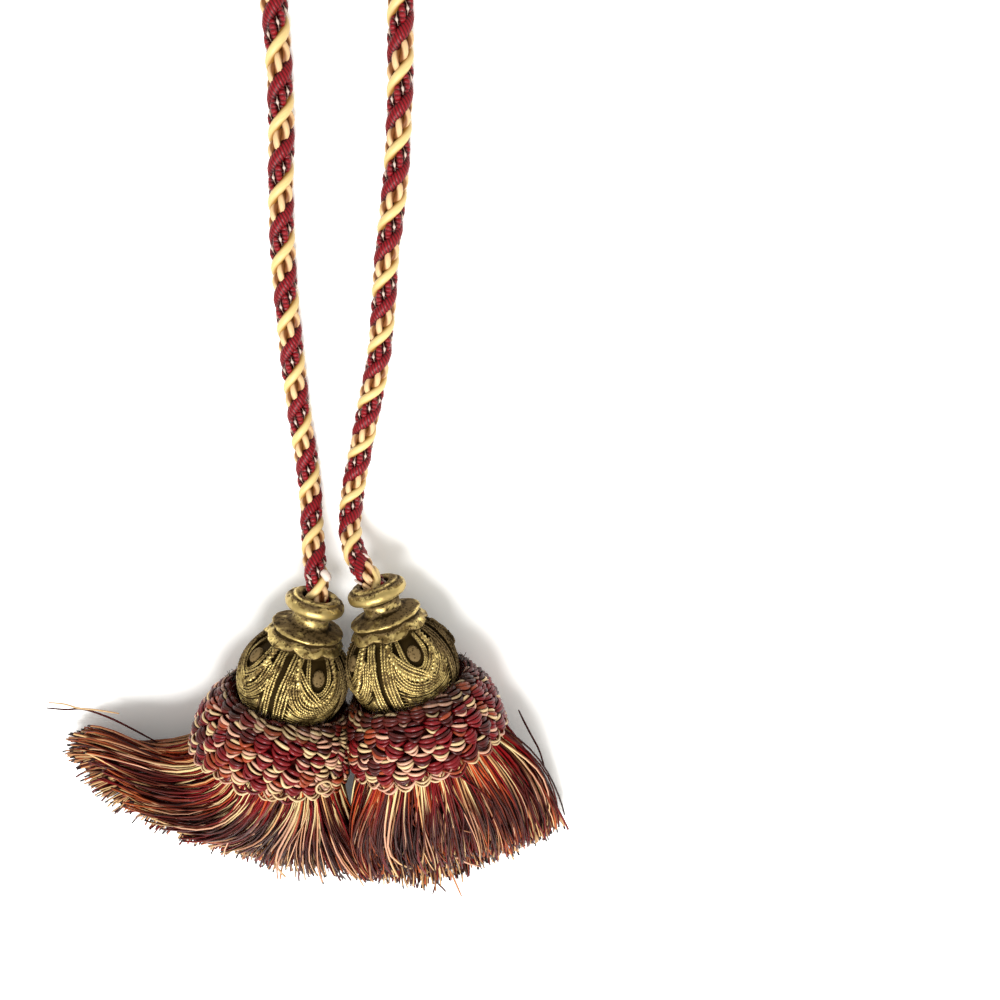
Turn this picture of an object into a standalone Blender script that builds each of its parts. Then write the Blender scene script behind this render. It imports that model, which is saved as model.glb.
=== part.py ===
"""Curtain tieback tassel: a twisted rope with a cast finial, a knotted ruff and a yarn skirt at each end.

The tieback lies on a table top at Z = 0, with its rope drawn out along +Y and its middle turned back in a
bight.  Both tassels lie on their sides: each one has its own axis, from the middle of its ball (height 0)
towards the rope (+ heights) and towards the skirt (- heights).
"""
import math
import random

import bmesh
import bpy
from mathutils import Matrix, Vector

MM = 0.001

# ---- fit between the pieces ----
GAP = 0.3 * MM                      # between a piece and the one that it touches
PARTING_X = 19.3 * MM               # the upright plane in which the two soft ruffs press on each other

# ---- rope ----
ROPE_R = 4.75 * MM
ROPE_PITCH = 24.1 * MM              # length of one full turn of the plies, along the middle of the rope
EXTRA_TWIST = 14.5                  # more turns for each metre, where the rope meets a finial
EXTRA_REACH = 80.0 * MM             # how far from a finial the extra twist fades
START_TURN_DEG = 251.0              # of the first ridge, at the left end
RING_STEP = 2.8 * MM                # between two sections of the rope
ROUTE_DETAIL = 24                   # curve steps between two points of the route, before it is measured out
# one row for each ridge or groove of the section: turn round the rope in degrees, share of its radius
ROPE_SECTION = (
    (0, 1.00), (47, 0.80), (90, 0.93), (133, 0.80),
    (180, 1.00), (227, 0.80), (270, 0.93), (313, 0.80),
)
# the rope's centre line in mm, from the left finial's socket, round the bight, to the right finial's socket
ROPE_ROUTE_MM = (
    (4.5, 63.3, 25.7), (6.6, 69.7, 25.2), (8.6, 75.9, 24.6), (8.4, 82.1, 22.9), (7.3, 88.5, 19.3),
    (6.2, 96.5, 14.1), (5.4, 104.5, 9.6), (4.8, 113.5, 6.3), (4.1, 123.5, 4.9), (2.9, 136.5, 4.8),
    (1.7, 154.5, 4.8), (0.7, 181.5, 4.8), (0.5, 204.5, 4.8), (1.4, 226.5, 4.8), (3.1, 246.5, 4.8),
    (3.9, 268.5, 4.8), (3.5, 288.5, 4.8), (1.4, 315.0, 4.8), (-0.9, 345.0, 4.8), (0.9, 371.0, 4.8),
    (9.6, 391.0, 4.8), (25.1, 400.0, 4.8), (40.6, 391.0, 4.8), (49.3, 371.0, 4.8), (51.1, 345.0, 4.8),
    (48.8, 315.0, 4.8), (46.5, 288.5, 4.8), (45.4, 261.5, 4.8), (43.4, 236.5, 4.8), (41.1, 219.5, 4.8),
    (38.4, 202.5, 4.8), (36.4, 183.5, 4.8), (33.7, 164.5, 4.8), (29.7, 147.5, 4.8), (26.1, 132.0, 4.8),
    (23.1, 119.5, 5.0), (21.3, 109.5, 6.6), (20.6, 101.5, 10.0), (21.5, 94.5, 14.8), (24.4, 88.4, 19.8),
    (28.7, 83.5, 23.4), (32.5, 77.1, 24.9), (34.9, 68.8, 25.7),
)

# ---- finial, from the middle of its ball ----
BALL_R = 22.0 * MM
BALL_HEIGHT = 27.5 * MM             # of the ball's middle above the table
BALL_ARC = (43.0, -67.0, 9)         # degrees above the ball's middle where its arc starts and ends, points
SOCKET_R = 5.5 * MM
SOCKET_FLOOR = 23.0 * MM
SOCKET_CHAMFER = 2.0 * MM
FINIAL_SIDES = 28
WAVES = 7                           # round the lower lip of the collar
WAVE_OUT = 0.6 * MM
WAVE_UP = 0.9 * MM
# one row for each ring of the profile above the ball, in mm: radius, height, share of the wave
NECK_PROFILE_MM = (
    (6.7, 36.8, 0), (8.8, 36.6, 0), (10.6, 35.0, 0), (11.75, 33.0, 0), (10.6, 31.0, 0),
    (7.8, 30.0, 0), (7.3, 26.0, 0), (8.6, 23.4, 0), (14.6, 22.2, 0), (14.2, 20.6, 0.2),
    (13.4, 19.4, 0.6), (15.7, 17.4, 1.0), (15.6, 15.9, 0.8),
)

# ---- ruff ----
KNOTS_PER_ROW = 28
KNOT_RAISE = 0.7 * MM               # of a knot's middle above the row's mean radius, and of its ends below it
CUP_GAP = 0.4 * MM                  # between the ball and the yarn that it sits in
CUP_HEIGHTS_MM = (-12.8, -17.4, -20.8)
# one row for each ring of the outside, in mm: radius, height, and 1 or -1 where a row of knots swells there
RUFF_PROFILE_MM = (
    (23.3, -7.3, 0), (25.4, -9.8, 1), (26.0, -12.3, 0), (28.8, -14.8, -1), (28.9, -17.4, 0),
    (31.2, -20.0, 1), (30.7, -22.5, 0), (32.4, -25.0, -1), (31.0, -27.6, 0), (32.1, -30.3, 1),
    (30.8, -33.0, 0),
)
RUFF_TOP_INSIDE = -7.6 * MM         # height of the edge where the yarn meets the ball
HEADING_RECESS_R = 28.4 * MM
HEADING_RECESS_TOP = -29.8 * MM

# ---- skirt ----
HEADING_R = 28.0 * MM
HEADING_TOP = -30.1 * MM
HEADING_FOOT = -33.2 * MM
LOCKS_PER_RING = 26
# one row for each ring of locks, in mm: outer radius, inner radius, lengths of tube that each lock is made of
LOCK_RINGS_MM = ((28.0, 24.0, 4), (24.0, 20.0, 4), (20.0, 16.0, 3), (16.0, 12.0, 3))
LOCK_TIP_SHARE = 0.42               # of the lock's thickness that is left at its tip
LOCK_TIP_Z = 0.2 * MM               # of the middle of the lowest tips, before they are laid on the table
FALL_POWER = 1.25                   # 1 is a straight fall from the ruff to the tips, more starts level
LENGTH_SPREAD = 0.07
TURN_SPREAD_DEG = 2.0

# one row for each tassel: name, ball's middle (x, y) in mm, lean of the axis from +Y to +X and its dip in
# degrees, height in mm of the topmost tips, and the fan of the skirt.  A fan has one row for each place
# across the heading, from -1 at its left edge to 1 at its right: place, heading in degrees where the locks
# leave the ruff and at their tips (0 is straight on, minus is to the left), and their length in mm
TASSELS = (
    ("left", (-2.8, 40.9), 18.0, 4.5, 15.0,
     ((-1.0, -42, -95, 75), (-0.5, -20, -62, 78), (0.0, -4, -18, 76), (0.5, 5, 13, 82), (1.0, 11, 26, 77))),
    ("right", (41.4, 46.1), -16.6, 4.5, 15.0,
     ((-1.0, -16, -30, 84), (-0.5, -8, -18, 87), (0.0, -2, -3, 82), (0.5, 5, 12, 75), (1.0, 14, 30, 61))),
)

# ---- finishes: colour, roughness, metallic ----
SHARP_EDGE_DEG = 50                 # edges bent more than this stay crisp
FINISHES = {
    "rope yarn": ((0.42, 0.05, 0.06), 0.55, 0.0),
    "gilt resin": ((0.33, 0.21, 0.06), 0.38, 0.75),
    "ruff yarn": ((0.45, 0.16, 0.11), 0.60, 0.0),
    "skirt yarn": ((0.50, 0.22, 0.12), 0.60, 0.0),
}


def clear_scene():
    for old in list(bpy.data.objects):
        bpy.data.objects.remove(old, do_unlink=True)


def finish_material(name):
    colour, roughness, metallic = FINISHES[name]
    material = bpy.data.materials.get(name) or bpy.data.materials.new(name)
    material.use_nodes = True
    shader = material.node_tree.nodes["Principled BSDF"]
    shader.inputs["Base Color"].default_value = (*colour, 1.0)
    shader.inputs["Roughness"].default_value = roughness
    shader.inputs["Metallic"].default_value = metallic
    return material


def add_object(name, shape, finish, parent=None):
    """Turn a bmesh into a named, smooth object with its material."""
    bmesh.ops.recalc_face_normals(shape, faces=shape.faces)
    mesh = bpy.data.meshes.new(name)
    shape.to_mesh(mesh)
    shape.free()
    mesh.materials.append(finish_material(finish))
    mesh.shade_smooth()
    mesh.set_sharp_from_angle(angle=math.radians(SHARP_EDGE_DEG))
    piece = bpy.data.objects.new(name, mesh)
    bpy.context.collection.objects.link(piece)
    piece.parent = parent
    return piece


def ring_of(shape, points):
    return [shape.verts.new(point) for point in points]


def skin(shape, rings, close_start=True, close_end=True):
    """Join rings of the same number of points with quads, and cap the open ends."""
    for ring, after in zip(rings, rings[1:]):
        count = len(ring)
        for i in range(count):
            j = (i + 1) % count
            shape.faces.new((ring[i], ring[j], after[j], after[i]))
    if close_start:
        shape.faces.new(rings[0])
    if close_end:
        shape.faces.new(rings[-1])


def circle(radius, height, sides):
    turns = (2 * math.pi * i / sides for i in range(sides))
    return [Vector((radius * math.cos(a), radius * math.sin(a), height)) for a in turns]


# ---------------------------------------------------------------------------------------------- rope
def catmull_rom(before, start, end, after, t):
    """A point of the smooth curve between start and end."""
    return 0.5 * (2 * start + (end - before) * t
                  + (2 * before - 5 * start + 4 * end - after) * t ** 2
                  + (3 * start - before - 3 * end + after) * t ** 3)


def smooth_route(points):
    padded = [2 * points[0] - points[1], *points, 2 * points[-1] - points[-2]]
    curve = []
    for four in zip(padded, padded[1:], padded[2:], padded[3:]):
        curve += [catmull_rom(*four, k / ROUTE_DETAIL) for k in range(ROUTE_DETAIL)]
    return [*curve, points[-1]]


def measure_out(curve, step):
    """Points along the curve, about one step apart, from its first point to its last."""
    lengths = [(b - a).length for a, b in zip(curve, curve[1:])]
    total = sum(lengths)
    count = round(total / step)
    marks, walked, piece = [], 0.0, 0
    for k in range(count + 1):
        goal = total * k / count
        while piece < len(lengths) - 1 and walked + lengths[piece] < goal:
            walked += lengths[piece]
            piece += 1
        marks.append(curve[piece].lerp(curve[piece + 1], (goal - walked) / lengths[piece]))
    return marks


def rope_turns(along, length):
    """Turns of the rope up to a distance along it: its twist was pushed up against both finials."""
    fade_in, fade_out = math.exp(-along / EXTRA_REACH), math.exp((along - length) / EXTRA_REACH)
    return along / ROPE_PITCH + EXTRA_TWIST * EXTRA_REACH * (1 - fade_in + fade_out) + START_TURN_DEG / 360


def make_rope():
    """The plies stand out as ridges of the section, which turns as it goes along (a Z twist)."""
    route = smooth_route([Vector(p) * MM for p in ROPE_ROUTE_MM])
    marks = measure_out(route, RING_STEP)
    length = sum((b - a).length for a, b in zip(marks, marks[1:]))
    shape = bmesh.new()
    rings = []
    side = Vector((1, 0, 0))
    for k, mark in enumerate(marks):
        ahead = (marks[min(k + 1, len(marks) - 1)] - marks[max(k - 1, 0)]).normalized()
        side = (side - ahead * side.dot(ahead)).normalized()
        other = ahead.cross(side)
        twist = 2 * math.pi * rope_turns(length * k / (len(marks) - 1), length)
        ring = []
        for turn, share in ROPE_SECTION:
            angle = math.radians(turn) + twist
            out = side * math.cos(angle) + other * math.sin(angle)
            ring.append(mark + out * ROPE_R * share)
        rings.append(ring_of(shape, ring))
    skin(shape, rings)
    return add_object("rope", shape, "rope yarn")


# -------------------------------------------------------------------------------------------- tassel
def tassel_axis(name, ball_mm, lean, dip):
    """An empty in the middle of the ball, with its +Z along the tassel's axis, towards the rope."""
    axis = bpy.data.objects.new(f"axis_{name}", None)
    bpy.context.collection.objects.link(axis)
    axis.matrix_world = (Matrix.Translation((ball_mm[0] * MM, ball_mm[1] * MM, BALL_HEIGHT))
                         @ Matrix.Rotation(math.radians(-lean), 4, "Z")
                         @ Matrix.Rotation(math.radians(-90 - dip), 4, "X"))
    return axis


def make_finial(name, axis):
    shape = bmesh.new()
    rings = [ring_of(shape, circle(SOCKET_R, SOCKET_FLOOR, FINIAL_SIDES)),
             ring_of(shape, circle(SOCKET_R, NECK_PROFILE_MM[0][1] * MM - SOCKET_CHAMFER, FINIAL_SIDES))]
    for radius, height, wave in NECK_PROFILE_MM:
        points = circle(radius * MM, height * MM, FINIAL_SIDES)
        for i, point in enumerate(points):
            swell = wave * math.cos(2 * math.pi * WAVES * i / FINIAL_SIDES)
            scale = 1 + swell * WAVE_OUT / (radius * MM)
            points[i] = Vector((point.x * scale, point.y * scale, point.z + swell * WAVE_UP))
        rings.append(ring_of(shape, points))
    start, end, count = BALL_ARC
    for k in range(1, count):
        rise = math.radians(start + (end - start) * k / (count - 1))
        rings.append(ring_of(shape, circle(BALL_R * math.cos(rise), BALL_R * math.sin(rise), FINIAL_SIDES)))
    skin(shape, rings)
    return add_object(f"finial_{name}", shape, "gilt resin", axis)


def press(point, is_left):
    """Soft yarn stops at the table top and at the plane between the two tassels."""
    limit = PARTING_X - GAP if is_left else PARTING_X + GAP
    x = min(point.x, limit) if is_left else max(point.x, limit)
    return Vector((x, point.y, max(point.z, 0.0)))


def make_ruff(name, axis):
    """Five rows of knots, half a knot out of step from row to row, round the cup that the ball sits in."""
    shape = bmesh.new()
    sides = 2 * KNOTS_PER_ROW
    cup_r = BALL_R + CUP_GAP
    rings = []
    for height in [h * MM for h in reversed(CUP_HEIGHTS_MM)] + [RUFF_TOP_INSIDE]:
        rings.append(circle(math.sqrt(cup_r ** 2 - height ** 2), height, sides))
    for radius, height, knots in RUFF_PROFILE_MM:
        rings.append([])
        for i, point in enumerate(circle(1.0, 0.0, sides)):
            raised = radius * MM + knots * KNOT_RAISE * (1 if i % 2 else -1)
            rings[-1].append(Vector((point.x * raised, point.y * raised, height * MM)))
    foot = RUFF_PROFILE_MM[-1][1] * MM
    rings.append(circle(HEADING_RECESS_R, foot, sides))
    rings.append(circle(HEADING_RECESS_R, HEADING_RECESS_TOP, sides))
    world = axis.matrix_world
    back = world.inverted()
    rings = [[back @ press(world @ point, name == "left") for point in ring] for ring in rings]
    skin(shape, [ring_of(shape, ring) for ring in rings])
    return add_object(f"ruff_{name}", shape, "ruff yarn", axis)


def read_fan(fan, place):
    """Heading at the ruff, heading at the tip and length of a lock, between the two nearest rows."""
    for low, high in zip(fan, fan[1:]):
        if place <= high[0]:
            break
    share = (place - low[0]) / (high[0] - low[0])
    return [a + (b - a) * share for a, b in zip(low[1:], high[1:])]


def lock_path(root, place, level, lean, fan, top_z, pieces, chance):
    """Centre points of one lock: it turns out into the fan, and falls from the ruff towards the table."""
    turn_start, turn_end, length = read_fan(fan, place)
    turn_end += chance.uniform(-TURN_SPREAD_DEG, TURN_SPREAD_DEG)
    length *= MM * (1 + chance.uniform(-LENGTH_SPREAD, LENGTH_SPREAD))
    tip_z = LOCK_TIP_Z + (level + 1) / 2 * (top_z * MM - LOCK_TIP_Z)
    path = [root]
    for k in range(1, pieces + 1):
        heading = math.radians(lean - 180 - turn_start - (turn_end - turn_start) * (k - 0.5) / pieces)
        last = path[-1]
        fallen = (k / pieces) ** FALL_POWER
        path.append(Vector((last.x + math.sin(heading) * length / pieces,
                            last.y + math.cos(heading) * length / pieces,
                            root.z + (tip_z - root.z) * fallen)))
    return path


def make_fringe(name, axis, lean, top_z, fan):
    """Locks of yarn grow from every other field of the heading, so their roots are one piece with it."""
    shape = bmesh.new()
    world = axis.matrix_world
    back = world.inverted()
    down = -world.col[2].to_3d()
    chance = random.Random(name)
    sides = 2 * LOCKS_PER_RING
    radii = [ring[0] * MM for ring in LOCK_RINGS_MM] + [LOCK_RINGS_MM[-1][1] * MM]
    grid = [ring_of(shape, circle(radius, HEADING_FOOT, sides)) for radius in radii]
    top = ring_of(shape, circle(HEADING_R, HEADING_TOP, sides))
    skin(shape, [top, grid[0]], close_end=False)
    shape.faces.new(grid[-1])
    for row, (_, _, pieces) in enumerate(LOCK_RINGS_MM):
        for i in range(sides):
            j = (i + 1) % sides
            corners = [grid[row][i], grid[row][j], grid[row + 1][j], grid[row + 1][i]]
            if (i + row) % 2:
                shape.faces.new(corners)
                continue
            middle = sum((corner.co for corner in corners), Vector()) / 4
            offsets = [world.to_3x3() @ (corner.co - middle) for corner in corners]
            path = lock_path(world @ middle, middle.x / HEADING_R, -middle.y / HEADING_R,
                             lean, fan, top_z, pieces, chance)
            rings = [corners]
            for k in range(1, pieces + 1):
                ahead = path[min(k + 1, pieces)] - path[k - 1]
                turn = down.rotation_difference(ahead)
                size = 1 - (1 - LOCK_TIP_SHARE) * (k / pieces) ** 2
                spread = [turn @ offset * size for offset in offsets]
                centre = path[k].copy()
                centre.z = max(centre.z, -min(offset.z for offset in spread))
                rings.append(ring_of(shape, [back @ (centre + offset) for offset in spread]))
            skin(shape, rings, close_start=False)
    return add_object(f"fringe_{name}", shape, "skirt yarn", axis)


def main():
    clear_scene()
    make_rope()
    for name, ball, lean, dip, top_z, fan in TASSELS:
        axis = tassel_axis(name, ball, lean, dip)
        make_finial(name, axis)
        make_ruff(name, axis)
        make_fringe(name, axis, lean, top_z, fan)


main()
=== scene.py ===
# %% [markdown]
# # A curtain tieback with two tassels
# A tieback is a short, thick rope that gathers a curtain at the side of a window.  This one has a tassel at
# each end: a gilt finial that the rope is glued into, a ruff of knotted yarn, and a skirt of cut yarn.
# The lesson builds each of them the way its maker does, out of yarn that runs along a line.  It starts from
# the solid model of the tieback, which is the fixed frame that every piece has to fit.

# %% The frame
import math

import bpy
import numpy as np
from mathutils import Matrix, Vector
from mathutils.kdtree import KDTree


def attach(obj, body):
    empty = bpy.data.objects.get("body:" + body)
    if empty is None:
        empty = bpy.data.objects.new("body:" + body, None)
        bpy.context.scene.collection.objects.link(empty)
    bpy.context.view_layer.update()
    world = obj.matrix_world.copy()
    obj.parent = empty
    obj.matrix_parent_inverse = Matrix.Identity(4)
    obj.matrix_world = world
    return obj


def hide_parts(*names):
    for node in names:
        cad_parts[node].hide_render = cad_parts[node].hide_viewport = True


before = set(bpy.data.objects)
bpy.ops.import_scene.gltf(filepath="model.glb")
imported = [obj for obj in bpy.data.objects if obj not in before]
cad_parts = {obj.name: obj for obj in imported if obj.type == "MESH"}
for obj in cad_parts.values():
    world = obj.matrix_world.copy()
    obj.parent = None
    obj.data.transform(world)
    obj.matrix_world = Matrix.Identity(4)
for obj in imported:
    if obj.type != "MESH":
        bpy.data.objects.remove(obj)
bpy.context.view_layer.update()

MM = 0.001
print("nodes in the frame:", ", ".join(sorted(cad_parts)))

# %% [markdown]
# ## The view
# The tieback lies on a table, and the eye is above it, a little on the rope's side of the tassels.  The
# camera is aimed by three sizes: the spot on the table that it looks at, how far away it is, and how far it
# leans from straight down.  A 36 mm lens on a 36 mm sensor makes the picture as wide as the distance.

# %% Camera
VIEW_SPOT = Vector((80.0, 106.5, 0.0)) * MM
VIEW_DISTANCE = 404 * MM
VIEW_LEAN = math.radians(20)
SENSOR = 36.0

camera_data = bpy.data.cameras.new("camera")
camera_data.sensor_width = SENSOR
camera_data.lens = SENSOR
camera_data.dof.use_dof = False
camera = bpy.data.objects.new("camera", camera_data)
bpy.context.collection.objects.link(camera)
camera.location = VIEW_SPOT + VIEW_DISTANCE * Vector((0, math.sin(VIEW_LEAN), math.cos(VIEW_LEAN)))
camera.rotation_euler = (-VIEW_LEAN, 0, 0)
bpy.context.scene.camera = camera
print("camera at", [round(v, 3) for v in camera.location])

# %% [markdown]
# ## A heap of yarn
# A tassel holds thousands of short yarns.  One object for each would be slow, so numpy lays many tubes at
# once and one mesh takes them all.  Two attributes stay with the points.  `dye` is the yarn's colour, and
# `lay` says how far along its own yarn a point is and on which side of it, so that a material can draw
# filaments and ribs, and paint shade on the yarn's flanks, whichever way it bends.

# %% Tubes in a heap
UP = np.array([0.0, 0.0, 1.0])


def unit(vectors):
    return vectors / np.maximum(np.linalg.norm(vectors, axis=-1, keepdims=True), 1e-12)


def ways_round(around):
    """The ways out from an axis and along its rim, at angles round it."""
    out = np.stack([np.cos(around), np.sin(around), 0 * around], axis=-1)
    return out, np.stack([-np.sin(around), np.cos(around), 0 * around], axis=-1)


def ring_points(line, out, across, high, wide, sides, turn=0.0):
    """Points round each point of a line, in the plane of out and across, and how far up and aside each is.
    Sizes may differ from ring to ring."""
    angle = 2 * np.pi * np.arange(sides) / sides + np.asarray(turn)[..., None]
    up = np.asarray(high)[..., None] * np.cos(angle)
    aside = np.asarray(wide)[..., None] * np.sin(angle)
    points = line[..., None, :] + up[..., None] * out[..., None, :] + aside[..., None] * across[..., None, :]
    return points, up, aside


class Heap:
    """Closed tubes, gathered as arrays and made into one mesh at the end."""

    def __init__(self):
        self.points, self.dyes, self.lays = [], [], []
        self.corners, self.sizes, self.finishes = [], [], []
        self.count = 0

    def add_faces(self, faces, finish):
        self.corners.append(faces.reshape(-1))
        self.sizes.append(np.full(len(faces), faces.shape[1]))
        self.finishes.append(np.full(len(faces), finish))

    def add_points(self, points, dye, lay):
        self.points.append(points.reshape(-1, 3))
        self.dyes.append(np.broadcast_to(dye, points.shape).reshape(-1, 3))
        self.lays.append(np.broadcast_to(lay, points.shape).reshape(-1, 3))
        self.count += points.size // 3

    def add_tubes(self, points, dye, along, up, aside, finish=0):
        """points has the shape tubes, rings, sides, 3.  along has a length for each ring of each tube."""
        shape = points.shape[:3]
        here = self.count + np.arange(np.prod(shape)).reshape(shape)
        beside = np.roll(here, -1, axis=2)
        walls = np.stack([here[:, :-1], beside[:, :-1], beside[:, 1:], here[:, 1:]], axis=-1)
        self.add_faces(walls.reshape(-1, 4), finish)
        self.add_faces(here[:, 0, ::-1], finish)
        self.add_faces(here[:, -1], finish)
        lay = np.stack([np.broadcast_to(along[..., None], shape), np.broadcast_to(up, shape),
                        np.broadcast_to(aside, shape)], axis=-1)
        self.add_points(points, dye, lay)

    def make(self, name, finishes):
        mesh = bpy.data.meshes.new(name)
        points, corners = np.concatenate(self.points), np.concatenate(self.corners)
        sizes = np.concatenate(self.sizes)
        mesh.vertices.add(len(points))
        mesh.vertices.foreach_set("co", points.astype(np.float32).ravel())
        mesh.loops.add(len(corners))
        mesh.loops.foreach_set("vertex_index", corners.astype(np.int32))
        mesh.polygons.add(len(sizes))
        mesh.polygons.foreach_set("loop_start", (np.cumsum(sizes) - sizes).astype(np.int32))
        mesh.polygons.foreach_set("material_index", np.concatenate(self.finishes).astype(np.int32))
        mesh.update(calc_edges=True)
        mesh.shade_smooth()
        dye = mesh.color_attributes.new("dye", "FLOAT_COLOR", "POINT")
        colours = np.concatenate(self.dyes)
        dye.data.foreach_set("color", np.c_[colours, np.ones(len(colours))].astype(np.float32).ravel())
        lay = mesh.attributes.new("lay", "FLOAT_VECTOR", "POINT")
        lay.data.foreach_set("vector", np.concatenate(self.lays).astype(np.float32).ravel())
        for finish in finishes:
            mesh.materials.append(finish)
        piece = bpy.data.objects.new(name, mesh)
        bpy.context.collection.objects.link(piece)
        triangles = int((sizes - 2).sum())
        print(f"{name}: {triangles:,} triangles")
        return piece


# %% [markdown]
# ## Yarn colours and finishes
# Rayon is a bright, smooth thread made of parallel filaments, so its colour wavers along the yarn and its
# highlight is broken into fine lines.  A painted image would need unwrapped tubes.  Noise that is stretched
# along the `lay` attribute does the same on any tube.  Where yarns lie side by side, their flanks see only
# each other, so painted shade is mixed in there: the dye times a darker colour.  Colours are given as they
# look on a screen, 0 to 255, and turned into dyes for a light that makes white paper a good deal brighter
# than white.

# %% Colours
LIGHT_LEVEL = 1.6


def screen_colour(red, green, blue):
    share = np.array([red, green, blue]) / 255
    light = np.where(share <= 0.04045, share / 12.92, ((share + 0.055) / 1.055) ** 2.4)
    return light / LIGHT_LEVEL


CREAM_SATIN = screen_colour(255, 222, 150)
PEACH = screen_colour(255, 212, 158)
BURGUNDY = screen_colour(154, 10, 26)
WHITE_TWIST = screen_colour(246, 226, 214)
# the core's near-black dye is painted shade, which shows only in the gaps between the strands
CORE_SHADE = screen_colour(40, 14, 12)
print("cream satin as a dye:", np.round(CREAM_SATIN, 3))


# %% Node helpers
def new_material(name):
    material = bpy.data.materials.new(name)
    material.use_nodes = True
    return material, material.node_tree, material.node_tree.nodes["Principled BSDF"]


def add_node(tree, kind, inputs=(), **settings):
    """A shader node with its settings.  inputs has rows of a socket's name or number, and a value or an
    output to link."""
    node = tree.nodes.new(kind)
    for key, value in settings.items():
        setattr(node, key, value)
    for socket, value in inputs:
        if isinstance(value, bpy.types.NodeSocket):
            tree.links.new(value, node.inputs[socket])
        else:
            node.inputs[socket].default_value = value
    return node


def maths(tree, operation, *values, clamp=False):
    node = add_node(tree, "ShaderNodeMath", enumerate(values), operation=operation, use_clamp=clamp)
    return node.outputs[0]


def ramp(tree, value, low, high, to_low=0.0, to_high=1.0, smooth=False):
    """A slope from to_low to to_high, while the value goes from low to high."""
    inputs = [("Value", value), ("From Min", low), ("From Max", high), ("To Min", to_low),
              ("To Max", to_high)]
    return add_node(tree, "ShaderNodeMapRange", inputs,
                    interpolation_type="SMOOTHSTEP" if smooth else "LINEAR").outputs[0]


def noise(tree, place, scale, detail, roughness=0.5):
    inputs = [("Vector", place), ("Scale", scale), ("Detail", detail), ("Roughness", roughness)]
    return add_node(tree, "ShaderNodeTexNoise", inputs).outputs["Fac"]


def mix_colours(tree, share, first, second):
    return add_node(tree, "ShaderNodeMix", [("Factor", share), ("A", first), ("B", second)],
                    data_type="RGBA").outputs["Result"]


def add_relief(tree, shader, height, strength, distance):
    inputs = [("Height", height), ("Strength", strength), ("Distance", distance)]
    bump = add_node(tree, "ShaderNodeBump", inputs)
    tree.links.new(bump.outputs["Normal"], shader.inputs["Normal"])


print("helpers for Math, Map Range, Noise, Mix and Bump nodes")

# %% Yarn material
FLANK_END = 0.95                    # share of a yarn's half thickness where the painted shade on its flank has faded into its top
FILAMENT_STRETCH = (0.12, 1.0, 1.0)
GROOVE_EDGE = 0.55                  # of a rib's height, below which its groove gets painted shade


def yarn_material(name, roughness, gloss, filament, waver, relief, thick, flank_shade, edge=-0.1, rib=None,
                  rib_relief=0.0, rib_shade=0.0):
    """Lengths are in mm.  filament is how wide a filament is, waver how much lighter or darker one is than
    the next, and relief how high its bump is.  thick is half the yarn's thickness, the flank colour the
    painted shade that its dye is multiplied by on its sides, and edge the share of that thickness where
    this painted shade begins.  rib is how far it is along the yarn from one groove to the next, rib_relief
    how many times as high as a filament's bump a rib is, and rib_shade how much lighter a rib is than the
    painted shade at the bottom of its groove."""
    material, tree, shader = new_material(name)
    dye = add_node(tree, "ShaderNodeAttribute", attribute_name="dye").outputs["Color"]
    lay = add_node(tree, "ShaderNodeAttribute", attribute_name="lay").outputs["Vector"]
    parts = add_node(tree, "ShaderNodeSeparateXYZ", [(0, lay)])
    unshaded_top = ramp(tree, parts.outputs["Y"], edge * thick * MM, FLANK_END * thick * MM, smooth=True)
    # painted shade: the dye is darkened on each yarn's flanks
    shaded = add_node(tree, "ShaderNodeVectorMath", [(0, dye), (1, flank_shade)], operation="MULTIPLY")
    dye = mix_colours(tree, unshaded_top, shaded.outputs[0], dye)
    stretched = add_node(tree, "ShaderNodeVectorMath", [(0, lay), (1, FILAMENT_STRETCH)],
                         operation="MULTIPLY")
    height = noise(tree, stretched.outputs[0], 1 / (filament * MM), 3.0, 0.6)
    shade = ramp(tree, height, 0.25, 0.75, 1 - waver, 1 + waver)
    if rib:
        wave = maths(tree, "SINE", maths(tree, "MULTIPLY", parts.outputs["X"], math.pi / (rib * MM)))
        ridge = maths(tree, "ABSOLUTE", wave)
        groove = ramp(tree, ridge, 0.0, GROOVE_EDGE, 1 - rib_shade, 1.0)
        shade = maths(tree, "MULTIPLY", shade, groove)
        height = maths(tree, "MULTIPLY_ADD", ridge, rib_relief, height)
    colour = add_node(tree, "ShaderNodeVectorMath", [(0, dye), ("Scale", shade)], operation="SCALE")
    tree.links.new(colour.outputs[0], shader.inputs["Base Color"])
    add_relief(tree, shader, height, 0.6, relief * MM)
    shader.inputs["Roughness"].default_value = roughness
    shader.inputs["Specular IOR Level"].default_value = gloss
    return material


satin = yarn_material("cream satin cord", roughness=0.38, gloss=0.30, filament=0.30, waver=0.12, relief=0.10,
                      thick=1.7, flank_shade=(0.42, 0.25, 0.10), edge=0.10)
gimp = yarn_material("burgundy gimp", roughness=0.34, gloss=0.22, filament=0.25, waver=0.22, relief=0.10,
                     thick=2.1, flank_shade=(0.16, 0.05, 0.08), edge=0.30)
plied = yarn_material("plied rope yarn", roughness=0.45, gloss=0.20, filament=0.35, waver=0.20, relief=0.14,
                      thick=1.3, flank_shade=(0.26, 0.13, 0.06), edge=0.05)
ribbed = yarn_material("ribbed rope yarn", roughness=0.34, gloss=0.26, filament=0.30, waver=0.15, relief=0.35,
                       thick=1.3, flank_shade=(0.16, 0.05, 0.08), edge=0.05, rib=1.4, rib_relief=2.0,
                       rib_shade=0.75)
fleck = yarn_material("white rope yarn", roughness=0.5, gloss=0.20, filament=0.30, waver=0.08, relief=0.06,
                      thick=0.7, flank_shade=(0.62, 0.50, 0.42))
print("rope finishes:", ", ".join(finish.name for finish in (satin, gimp, plied, ribbed, fleck)))

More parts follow.
